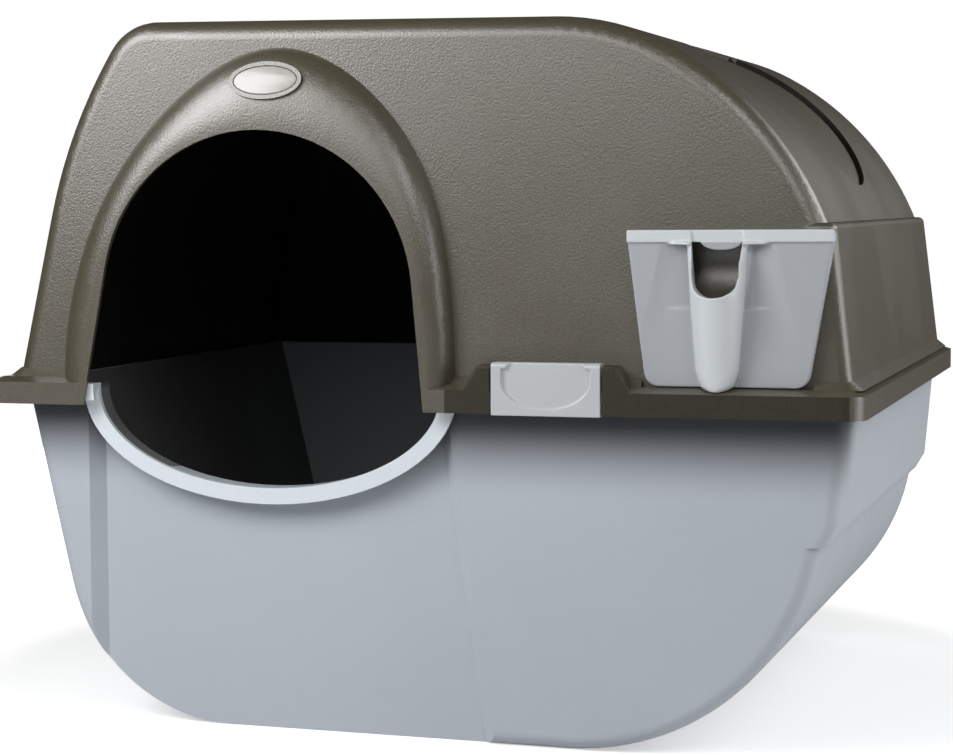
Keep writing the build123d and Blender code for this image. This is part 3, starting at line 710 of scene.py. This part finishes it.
@dataclass(frozen=True)
class Level:
    """One oblong cross-section of a tower: its middle, half sizes and height in millimetres."""

    x: float
    y: float
    half_x: float
    half_y: float
    z: float


def tower(name: str, low: Level, high: Level) -> Piece:
    """Raises a closed tower from one oblong section to another.

    Args:
        name: Name of the piece.
        low: Its lower section.
        high: Its upper section.

    Returns:
        The piece.
    """
    bpy.ops.object.select_all(action="DESELECT")
    bpy.ops.mesh.primitive_plane_add(size=2.0, location=mm(low.x, low.y, low.z))
    piece = bpy.context.object
    piece.name = name
    piece.scale = (low.half_x * MM, low.half_y * MM, 1.0)
    settle(piece)
    edit_all(piece)
    rise = mm(high.x - low.x, high.y - low.y, high.z - low.z)
    bpy.ops.mesh.extrude_region_move(TRANSFORM_OT_translate={"value": rise})
    bpy.ops.transform.resize(
        value=(high.half_x / low.half_x, high.half_y / low.half_y, 1.0),
        center_override=mm(high.x, high.y, high.z),
    )
    end_edit()
    return piece


def rod(name: str, centre: Triple, halves: Pair, reach: float) -> Piece:
    """Adds an elliptical bar along y, in millimetres.

    Args:
        name: Name of the piece.
        centre: Its middle.
        halves: Half width along x and half height along z.
        reach: Length along y.

    Returns:
        The piece.
    """
    bpy.ops.object.select_all(action="DESELECT")
    bpy.ops.mesh.primitive_cylinder_add(
        vertices=ROD_CORNERS,
        radius=1.0,
        depth=reach * MM,
        location=mm(*centre),
        rotation=(math.pi / 2, 0.0, 0.0),
    )
    piece = bpy.context.object
    piece.name = name
    piece.scale = (halves[0] * MM, halves[1] * MM, 1.0)
    settle(piece)
    return piece


def sweep(
    name: str, corners: int, start: Vector, halves: Pair, turns: tuple[tuple[Triple, Triple | None], ...]
) -> Piece:
    """Sweeps an upright section along level runs and quarter turns, in millimetres.

    Args:
        name: Name of the piece.
        corners: Corners of the section, four for an oblong.
        start: Middle of the first section, which faces along x.
        halves: Half size across the run and half height.
        turns: Each run's way, followed by the middle of the quarter turn after it, or None.

    Returns:
        The piece.
    """
    bpy.ops.object.select_all(action="DESELECT")
    at = start * MM
    facing = (0.0, math.pi / 2, 0.0)
    if corners == 4:
        bpy.ops.mesh.primitive_plane_add(size=2.0, location=at, rotation=facing)
    else:
        bpy.ops.mesh.primitive_circle_add(
            vertices=corners, radius=1.0, fill_type="NGON", location=at, rotation=facing
        )
    piece = bpy.context.object
    piece.name = name
    piece.scale = (halves[1] * MM, halves[0] * MM, 1.0)
    settle(piece)
    edit_all(piece)
    for way, middle in turns:
        bpy.ops.mesh.extrude_region_move(TRANSFORM_OT_translate={"value": mm(*way)})
        if middle is not None:
            bpy.ops.mesh.spin(steps=TURN_STEPS, angle=math.pi / 2, center=mm(*middle), axis=(0.0, 0.0, 1.0))
    end_edit()
    return piece


def combine(piece: Piece, other: Piece, join: Join) -> None:
    """Joins another solid to a piece or cuts it out, and removes the other.

    Args:
        piece: The piece.
        other: The other solid.
        join: What is done.
    """
    only(piece)
    step = piece.modifiers.new("combined", "BOOLEAN")
    step.operation = join.value
    step.solver = "EXACT"
    step.object = other
    bpy.ops.object.modifier_apply(modifier=step.name)
    bpy.data.objects.remove(other, do_unlink=True)


def melt(piece: Piece, voxel: float, passes: int) -> None:
    """Turns a solid into one even skin whose edges are eased, as a mould leaves them.

    Args:
        piece: The piece.
        voxel: Size of the skin's grid in metres.
        passes: How often the skin is smoothed.
    """
    only(piece)
    grid = piece.modifiers.new("even_skin", "REMESH")
    grid.mode = "VOXEL"
    grid.voxel_size = voxel
    bpy.ops.object.modifier_apply(modifier=grid.name)
    ease = piece.modifiers.new("eased_skin", "SMOOTH")
    ease.factor = 0.5
    ease.iterations = passes
    bpy.ops.object.modifier_apply(modifier=ease.name)
    bpy.ops.object.shade_smooth()


def paint_inner_shade(piece: Piece, room: Room, slot: IntEnum) -> None:
    """Paints shade on the faces of a shell that look inwards, by giving them its darker inside colour.

    Args:
        piece: The shell.
        room: The room inside it.
        slot: Slot of the finish.
    """
    middle = room.middle()
    for face in piece.data.polygons:
        at = face.center / MM
        if room.holds(at) and face.normal.dot(middle - at) > 0:
            face.material_index = slot
    piece.data.update()


def mesh_box(piece: Piece) -> tuple[Vector, Vector]:
    """Finds the box round a mesh.

    Args:
        piece: The piece.

    Returns:
        Its low and high corners in metres.
    """
    columns = list(zip(*(point.co for point in piece.data.vertices)))
    return Vector([min(column) for column in columns]), Vector([max(column) for column in columns])


def install(piece: Piece, body: Body, *nodes: str) -> None:
    """Makes a finished piece ride on its body in place of CAD nodes.

    Args:
        piece: The piece.
        body: The body it rides on.
        nodes: The CAD nodes that it stands for.
    """
    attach(piece, body.value)
    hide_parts(*nodes)
    log.info("%s: %d faces", piece.name, len(piece.data.polygons))


@dataclass
class CoverShell:
    """The rolling cover, with a rounded flange, a finger well with painted light and a skirt front with
    painted shade.

    Lengths are in millimetres, apart from the edge's rounding.

    Args:
        finishes: The materials.
        edge: Rounding of its edges in metres.
        rim_radius: Fillet of the flange's upper rim.
        rim_height: Height of the flange's upper face at its rim.
        rim_slope: Slope of that face.
        rim_corners: Corners round the tube that shapes the fillet.
        strip_outward: Where the strip that the tube is cut from starts, as a share of the radius.
        strip_spare: How far the strip reaches beyond the rim.
        strip_lift: How much its half height exceeds its half width.
        front: Front of the flange.
        right: Right end of the flange.
        back: Back of the flange.
        corner: Radius of its corners.
        bump_end: Right end of the front latch's bump, where the fillet starts.
        back_end: Where the fillet ends, beside the right back latch's bump.
        skirt_left: Left end of the skirt's painted shade.
        skirt_back: Depth in front of which its faces lie.
        skirt_facing: Normal's y under which a face looks to the front.
        well_patch: Largest face of the finger well, in square metres.
        well: Room round the finger well.
        inside: Room inside the cover.
    """

    finishes: Finishes
    edge: float = 0.0009
    rim_radius: float = 3.0
    rim_height: float = 216.8
    rim_slope: float = 0.3
    rim_corners: int = 40
    strip_outward: float = 0.28
    strip_spare: float = 1.0
    strip_lift: float = 0.6
    front: float = -236.75
    right: float = 279.5
    back: float = 246.25
    corner: float = 14.0
    bump_end: float = 147.0
    back_end: float = 204.0
    skirt_left: float = 32.0
    skirt_back: float = -235.5
    skirt_facing: float = -0.5
    well_patch: float = 0.00012
    well: Room = Room((170.0, -219.6, 262.0), (219.0, -207.0, 318.0))
    inside: Room = Room((-276.0, -233.0, 224.0), (276.0, 243.0, 439.0))

    def build(self) -> None:
        """Rounds the flange's rim and dresses the shell."""
        piece = merged_copy("cover", "cover_shell")
        self.round_rim(piece)
        soften(piece, self.edge)
        part_faces(piece, mm(self.skirt_left, 0, 0), (1, 0, 0))
        flatten_shading(piece)
        self.finishes.dress(piece, TAUPE_SHELL, SHELL_INSIDE_PAINTED_SHADE, WELL_TAUPE_PAINTED_LIGHT, SKIRT_TAUPE_PAINTED_SHADE)
        paint_inner_shade(piece, self.inside, CoverSlot.INSIDE)
        self.colour_faces(piece)
        install(piece, Body.COVER, "cover")

    def round_rim(self, piece: Piece) -> None:
        """Takes a fillet off the flange's upper rim, from the front latch round to the back one.

        Args:
            piece: The cover.
        """
        radius = self.rim_radius
        low = self.rim_height + self.rim_slope * radius - math.hypot(1.0, self.rim_slope) * radius
        front = self.front + self.corner
        right = self.right - self.corner
        back = self.back - self.corner
        start = Vector((self.bump_end, self.front + radius, low))
        turns = (
            ((right - self.bump_end, 0, 0), (right, front, low)),
            ((0, back - front, 0), (right, back, low)),
            ((self.back_end - right, 0, 0), None),
        )
        tube = sweep("rim_tube", self.rim_corners, start, (radius, radius), turns)
        outward = self.strip_outward * radius
        half = (radius + self.strip_spare - outward) / 2
        shift = Vector((0.0, -outward - half, half + self.strip_lift))
        strip = sweep("rim_strip", 4, start + shift, (half, half + self.strip_lift), turns)
        combine(strip, tube, Join.CUT)
        combine(piece, strip, Join.CUT)

    def colour_faces(self, piece: Piece) -> None:
        """Paints light on the finger well and shade on the flange's front, each with its own colour.

        Args:
            piece: The cover.
        """
        for face in piece.data.polygons:
            at = face.center / MM
            # Painted light: the finger well's small front-facing faces take the paler colour.
            if self.well.holds(at) and face.area < self.well_patch and face.normal.y < 0:
                face.material_index = CoverSlot.WELL
            # Painted shade: the skirt's front faces right of its left end take the darker colour.
            elif at.y < self.skirt_back and at.x > self.skirt_left and face.normal.y < self.skirt_facing:
                face.material_index = CoverSlot.SKIRT


@dataclass
class PanShell:
    """The base pan, with painted shade inside, a painted shadow under the flange, and a lip at the entry
    painted paler as if lit.

    Args:
        finishes: The materials.
        edge: Rounding of its edges in metres.
        lip_back: Back of the lip in millimetres.
        inside_low: Left end and bottom of the room inside it.
        inside_high: High corner of that room.
    """

    finishes: Finishes
    edge: float = 0.0009
    lip_back: float = -221.6
    inside_low: Pair = (-262.0, 1.0)
    inside_high: Triple = (267.0, 222.0, 213.0)

    def build(self) -> None:
        """Rounds the base pan and dresses it."""
        piece = merged_copy("base_pan", "base_pan_shell")
        soften(piece, self.edge)
        part_faces(piece, mm(0, self.lip_back, 0), (0, 1, 0))
        flatten_shading(piece)
        self.finishes.dress(piece, BLUE_GREY_PAN_PAINTED_SHADOW, PAN_INSIDE_PAINTED_SHADE, LIP_PALE_PAINTED_LIGHT)
        left, bottom = self.inside_low
        paint_inner_shade(piece, Room((left, self.lip_back, bottom), self.inside_high), PanSlot.INSIDE)
        # Painted light: the faces in front of the lip's back take the paler lip colour.
        for face in piece.data.polygons:
            if face.center.y < self.lip_back * MM:
                face.material_index = PanSlot.LIP
        install(piece, Body.BASE, "base_pan")


@dataclass
class WasteTray:
    """Pull-out tray: a tub with a moulded front, whose handle is a pouch with a wide window.

    Lengths are in millimetres, apart from the tub's rounding and the skin's grid.

    Args:
        finishes: The materials.
        split: Depth where the front and the tub part.
        tub_edge: Rounding of the tub's edges in metres.
        skin_grid: Size of the front's skin grid in metres.
        skin_passes: How often that skin is smoothed.
        plate_front: Front of the plate.
        plate_thick: Its thickness.
        lip_low: Height of the lip's underside.
        patch_y: Depth of the patch behind the scallops.
        patch_halves: Half width and half thickness of the patch.
        patch_low: Its bottom.
        patch_high: Its top.
        handle_x: Middle of the handle.
        handle_half: Half width of the faces that count as the pouch.
        handle_depth: How far in front of the plate they start.
        window_low: Lowest point of the window.
        window_bend: Height of its rounded foot.
        window_half: Half width at the top of that foot.
        window_flare: Half width at the lip.
        window_reach: Length of each cut.
        pouch_gap: How far in front of the plate the pouch's cut ends.
        pouch_top: Top of that cut.
        plate_bite: How far in front of the plate the plate's cut starts.
        behind: How much wider the plate is cut than the pouch, at each side.
        tab_shift: The finger tab's middle from the handle's, the plate's and the lip's underside.
        tab_thinner: How much thinner than the plate it is.
        tab_halves: Its half width and half height.
    """

    finishes: Finishes
    split: float = -219.0
    tub_edge: float = 0.0006
    skin_grid: float = 0.00062
    skin_passes: int = 5
    plate_front: float = -227.25
    plate_thick: float = 2.8
    lip_low: float = 304.3
    patch_y: float = -222.9
    patch_halves: Pair = (27.0, 1.3)
    patch_low: float = 262.0
    patch_high: float = 277.0
    handle_x: float = 194.5
    handle_half: float = 30.0
    handle_depth: float = 1.2
    window_low: float = 272.6
    window_bend: float = 8.5
    window_half: float = 12.6
    window_flare: float = 14.8
    window_reach: float = 20.0
    pouch_gap: float = 0.4
    pouch_top: float = 320.0
    plate_bite: float = 1.0
    behind: float = 1.6
    tab_shift: Triple = (2.0, -0.6, 0.5)
    tab_thinner: float = 0.4
    tab_halves: Pair = (12.0, 5.2)

    def build(self) -> None:
        """Builds the tub and the front over the CAD tray."""
        tub = merged_copy("waste_tray", "tray_tub")
        keep_side(tub, self.split, False)
        soften(tub, self.tub_edge)
        self.finishes.dress(tub, PALE_TRAY)
        front = merged_copy("waste_tray", "tray_front")
        keep_side(front, self.split, True)
        self.back_plate(front)
        self.open_window(front)
        self.hang_tab(front)
        melt(front, self.skin_grid, self.skin_passes)
        self.finishes.dress(front, PALE_TRAY, PALE_RIM_PAINTED_LIGHT)
        self.paint_rim_light(front)
        install(tub, Body.TRAY, "waste_tray")
        install(front, Body.TRAY, "waste_tray")

    def back_plate(self, front: Piece) -> None:
        """Thickens the plate behind the scallops, above the tub.

        Args:
            front: The tray's front.
        """
        low = Level(self.handle_x, self.patch_y, *self.patch_halves, self.patch_low)
        high = Level(self.handle_x, self.patch_y, *self.patch_halves, self.patch_high)
        combine(front, tower("plate_back", low, high), Join.ADD)

    def open_window(self, front: Piece) -> None:
        """Widens the handle's window and opens the plate behind it.

        Args:
            front: The tray's front.
        """
        half_reach = self.window_reach / 2
        self.cut_opening(front, self.plate_front - half_reach - self.pouch_gap, self.pouch_top, 0.0)
        self.cut_opening(front, self.plate_front + half_reach - self.plate_bite, self.lip_low, self.behind)

    def cut_opening(self, front: Piece, y: float, top: float, wider: float) -> None:
        """Cuts a flared opening with a rounded foot.

        Args:
            front: The tray's front.
            y: Middle of the cut along y, in millimetres.
            top: Its top.
            wider: How much wider than the handle's window it is at each side.
        """
        half_reach = self.window_reach / 2
        bend = self.window_low + self.window_bend
        foot_half = self.window_half + wider
        share = (top - bend) / (self.lip_low - bend)
        half = foot_half + (self.window_flare - self.window_half) * share
        halves = (foot_half, self.window_bend + wider)
        foot = rod("window_foot", (self.handle_x, y, bend), halves, self.window_reach)
        combine(front, foot, Join.CUT)
        low = Level(self.handle_x, y, foot_half, half_reach, bend)
        high = Level(self.handle_x, y, half, half_reach, top)
        combine(front, tower("window_head", low, high), Join.CUT)

    def hang_tab(self, front: Piece) -> None:
        """Hangs the finger tab under the lip, behind the window.

        Args:
            front: The tray's front.
        """
        right, back, rise = self.tab_shift
        centre = (
            self.handle_x + right,
            self.plate_front + self.plate_thick / 2 + back,
            self.lip_low + rise,
        )
        tab = rod("finger_tab", centre, self.tab_halves, self.plate_thick - self.tab_thinner)
        combine(front, tab, Join.ADD)

    def paint_rim_light(self, front: Piece) -> None:
        """Paints light on the lip and the pouch, which stand out in the light, by giving them the paler
        colour.

        Args:
            front: The tray's front.
        """
        pouch_back = self.plate_front - self.handle_depth
        for face in front.data.polygons:
            at = face.center / MM
            pouch = at.y < pouch_back and abs(at.x - self.handle_x) < self.handle_half
            if pouch or at.z > self.lip_low:
                face.material_index = FrontSlot.RIM


@dataclass
class ClipLatches:
    """The four clip latches, each with a D-shaped thumb recess.

    Lengths are in millimetres, apart from the skin's grid.

    Args:
        finishes: The materials.
        skin_grid: Size of the skin's grid in metres.
        skin_passes: How often the skin is smoothed.
        front_x: Middle of the front latch.
        front_y: Front of its plate.
        half_width: Half width of the recess.
        recess_top: Its top.
        recess_middle: Height where its straight sides end.
        recess_low: Its lowest point.
        recess_depth: Its depth.
        head_overlap: How far its upper cut reaches into the lower one.
    """

    finishes: Finishes
    skin_grid: float = 0.00048
    skin_passes: int = 3
    front_x: float = 94.0
    front_y: float = -236.75
    half_width: float = 27.2
    recess_top: float = 230.0
    recess_middle: float = 223.0
    recess_low: float = 206.2
    recess_depth: float = 2.2
    head_overlap: float = 1.0

    def build(self) -> None:
        """Models the front latch and copies it to the other three places."""
        front = merged_copy("latch_front", "latch_front_clip")
        self.deepen_recess(front)
        melt(front, self.skin_grid, self.skin_passes)
        self.finishes.dress(front, PALE_LATCH)
        for node, body, turn in (
            ("latch_back_left", Body.LATCH_BACK_LEFT, math.pi),
            ("latch_back_right", Body.LATCH_BACK_RIGHT, math.pi),
            ("latch_left", Body.LATCH_LEFT, -math.pi / 2),
        ):
            self.copy_latch(front, node, body, turn)
        install(front, Body.LATCH_FRONT, "latch_front")

    def copy_latch(self, front: Piece, node: str, body: Body, turn: float) -> None:
        """Copies the front latch over another latch's CAD node.

        Args:
            front: The front latch.
            node: The other latch's CAD node.
            body: The other latch's body.
            turn: Turn about the upright axis, in radians.
        """
        piece = bpy.data.objects.new(f"{node}_clip", front.data.copy())
        bpy.context.scene.collection.objects.link(piece)
        piece.rotation_euler = (0.0, 0.0, turn)
        settle(piece)
        low, high = mesh_box(piece)
        given_low, given_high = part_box(node)
        piece.location = (given_low + given_high - low - high) / 2
        settle(piece)
        install(piece, body, node)

    def deepen_recess(self, front: Piece) -> None:
        """Cuts the thumb recess: straight above, half an ellipse below.

        Args:
            front: The front latch.
        """
        reach = 2 * self.recess_depth
        centre = (self.front_x, self.front_y, self.recess_middle)
        bowl = rod("thumb_bowl", centre, (self.half_width, self.recess_middle - self.recess_low), reach)
        combine(front, bowl, Join.CUT)
        halves = (self.half_width, reach / 2)
        low = Level(self.front_x, self.front_y, *halves, self.recess_middle - self.head_overlap)
        high = Level(self.front_x, self.front_y, *halves, self.recess_top)
        combine(front, tower("thumb_head", low, high), Join.CUT)


@dataclass
class SmallPieces:
    """Badge plate, sifter, channel and screws."""

    finishes: Finishes

    def build(self) -> None:
        """Builds each over its CAD node."""
        rows = (
            ("badge_plate", BADGE_PEARL, 0.0010, 4),
            # The sifter grille and the tray channel take the near-black inside colour, painted shade.
            ("sifter_grille", SHELL_INSIDE_PAINTED_SHADE, 0.0003, 2),
            ("tray_channel", SHELL_INSIDE_PAINTED_SHADE, 0.0004, 2),
            ("sifter_screws", SCREW_STEEL, 0.0002, 2),
        )
        for node, finish, edge, segments in rows:
            piece = merged_copy(node, f"{node}_dressed")
            soften(piece, edge, segments)
            self.finishes.dress(piece, finish)
            install(piece, Body.COVER, node)


@dataclass(frozen=True)
class Viewpoint:
    """The camera that took the photograph.

    Args:
        place: Its place in millimetres.
        turn: Turn to the left in degrees.
        dip: How far it looks down, in degrees.
        roll: Roll in degrees.
        focal_pixels: Focal length in the photograph's pixels.
        centre_x: Where its axis meets the photograph, across.
        centre_y: Where its axis meets the photograph, down.
        sensor: Width of its sensor in millimetres.
        near: Nearest distance seen, in metres.
        far: Farthest distance seen.
    """

    place: Triple = (462.3, -1579.75, 326.7)
    turn: float = 19.407
    dip: float = 4.13
    roll: float = 0.462
    focal_pixels: float = 2372.0
    centre_x: float = 376.3
    centre_y: float = 377.0
    sensor: float = 36.0
    near: float = 0.05
    far: float = 60.0

    def build(self) -> None:
        """Makes the camera and looks through it."""
        data = bpy.data.cameras.new("camera")
        data.sensor_width = self.sensor
        data.sensor_fit = "HORIZONTAL"
        data.lens = self.focal_pixels / PHOTO_WIDTH * self.sensor
        data.shift_x = (PHOTO_WIDTH / 2 - self.centre_x) / PHOTO_WIDTH
        data.shift_y = (self.centre_y - PHOTO_HEIGHT / 2) / PHOTO_WIDTH
        data.clip_start = self.near
        data.clip_end = self.far
        camera = bpy.data.objects.new("camera", data)
        bpy.context.scene.collection.objects.link(camera)
        turn, dip, roll = (math.radians(value) for value in (self.turn, self.dip, self.roll))
        ahead = Vector((-math.sin(turn) * math.cos(dip), math.cos(turn) * math.cos(dip), -math.sin(dip)))
        level = Vector((math.cos(turn), math.sin(turn), 0.0))
        down = ahead.cross(level)
        right = level * math.cos(roll) + down * math.sin(roll)
        low = down * math.cos(roll) - level * math.sin(roll)
        turned = Matrix((right, -low, -ahead)).transposed()
        camera.matrix_world = Matrix.Translation(mm(*self.place)) @ turned.to_4x4()
        bpy.context.scene.camera = camera


@dataclass(frozen=True)
class Softbox:
    """One soft studio lamp, aimed at a point.

    Args:
        name: Its name.
        place: Its place in metres.
        size: Its width and height in metres.
        power: Its power in watts.
        target: The point that it faces.
    """

    name: str
    place: Triple
    size: Pair
    power: float
    target: Triple = (0.0, -0.2, 0.25)

    def build(self) -> None:
        """Hangs the lamp."""
        data = bpy.data.lights.new(self.name, "AREA")
        data.shape = "RECTANGLE"
        data.size, data.size_y = self.size
        data.energy = self.power
        lamp = bpy.data.objects.new(self.name, data)
        bpy.context.scene.collection.objects.link(lamp)
        lamp.visible_camera = False
        lamp.location = self.place
        aim = Vector(self.target) - Vector(self.place)
        lamp.rotation_euler = aim.to_track_quat("-Z", "Y").to_euler()


LAMPS = (
    Softbox("key_left", (-0.58, -0.86, 0.79), (0.50, 0.60), 7.5),
    Softbox("key_front", (0.0, -0.90, 0.70), (0.45, 0.45), 1.2),
    Softbox("high_right", (0.70, -0.88, 0.98), (0.45, 0.45), 2.4),
    Softbox("side_right", (1.40, -0.15, 0.50), (0.80, 0.80), 5.4),
    Softbox("back_right", (1.20, 0.80, 0.88), (0.80, 0.80), 7.5),
    Softbox("back_left", (-0.90, 1.40, 0.35), (0.80, 0.50), 7.0, (0.0, 0.1, 0.22)),
)


@dataclass
class Studio:
    """White paper floor, white surround and soft lamps round the box.

    Args:
        floor_size: Side of the floor in metres.
        near_glow: Glow of the floor under the box, as the camera sees it.
        far_glow: Glow of the floor away from it.
        glow_start: Distance in metres where the glow begins to rise.
        glow_end: Distance where it is full.
        bounce: Grey of the floor as it lights the box.
        paper_dark: Darker grey of the paper.
        paper_pale: Paler grey of the paper.
        paper_scale: Clouds in the paper per metre.
        paper_roughness: Roughness of the paper.
        paper_specular: Specular level of the paper.
        ambient: How strongly the surround lights the box.
        seen_strength: How bright the surround looks.
    """

    floor_size: float = 30.0
    near_glow: float = 0.47
    far_glow: float = 1.0
    glow_start: float = 0.34
    glow_end: float = 0.47
    bounce: float = 0.78
    paper_dark: float = 0.79
    paper_pale: float = 0.81
    paper_scale: float = 3.0
    paper_roughness: float = 0.9
    paper_specular: float = 0.1
    ambient: float = 0.05
    seen_strength: float = 1.02

    def build(self) -> None:
        """Sets the floor, the surround and the lamps."""
        self.lay_floor()
        self.light_surround()
        for lamp in LAMPS:
            lamp.build()

    def lay_floor(self) -> None:
        """Lays the paper floor."""
        bpy.ops.object.select_all(action="DESELECT")
        bpy.ops.mesh.primitive_plane_add(size=self.floor_size, location=(0.0, 0.0, 0.0))
        floor = bpy.context.object
        floor.name = "studio_floor"
        floor.data.materials.append(self.paper())

    def paper(self) -> Material:
        """White paper that looks evenly lit from the camera and casts no glow on the box.

        Returns:
            The material.
        """
        material = bpy.data.materials.new("floor_paper")
        material.use_nodes = True
        shader = material.node_tree.nodes["Principled BSDF"]
        sheet = Sheet(material.node_tree)
        place = sheet.node("ShaderNodeTexCoord").outputs["Object"]
        cloud = sheet.noise(place, self.paper_scale)
        seen = sheet.node("ShaderNodeLightPath").outputs["Is Camera Ray"]
        looks = sheet.blend(cloud, grey(self.paper_dark), grey(self.paper_pale))
        sheet.link(sheet.blend(seen, grey(self.bounce), looks), shader.inputs["Base Color"])
        away = sheet.node("ShaderNodeVectorMath", operation="LENGTH")
        sheet.link(place, away.inputs[0])
        distance = away.outputs["Value"]
        glow = sheet.spread(distance, self.glow_start, self.glow_end, self.near_glow, self.far_glow)
        shader.inputs["Roughness"].default_value = self.paper_roughness
        shader.inputs["Specular IOR Level"].default_value = self.paper_specular
        shader.inputs["Emission Color"].default_value = grey(1.0)
        sheet.link(sheet.sums("MULTIPLY", glow, seen), shader.inputs["Emission Strength"])
        return material

    def light_surround(self) -> None:
        """Makes the surround white where it is seen and dimmer where it lights the box."""
        world = bpy.data.worlds.new("surround")
        bpy.context.scene.world = world
        world.use_nodes = True
        world.node_tree.nodes.clear()
        sheet = Sheet(world.node_tree)
        seen = sheet.node("ShaderNodeLightPath").outputs["Is Camera Ray"]
        ground = sheet.node("ShaderNodeBackground")
        ground.inputs["Color"].default_value = grey(1.0)
        strength = sheet.spread(seen, 0.0, 1.0, self.ambient, self.seen_strength)
        sheet.link(strength, ground.inputs["Strength"])
        out = sheet.node("ShaderNodeOutputWorld")
        sheet.link(ground.outputs["Background"], out.inputs["Surface"])


def main() -> None:
    """Builds the litter box and its studio in order."""
    bpy.context.scene.view_settings.view_transform = "Standard"
    finishes = Finishes()
    CoverShell(finishes).build()
    PanShell(finishes).build()
    WasteTray(finishes).build()
    ClipLatches(finishes).build()
    SmallPieces(finishes).build()
    Viewpoint().build()
    Studio().build()


if __name__ == "__main__":
    main()
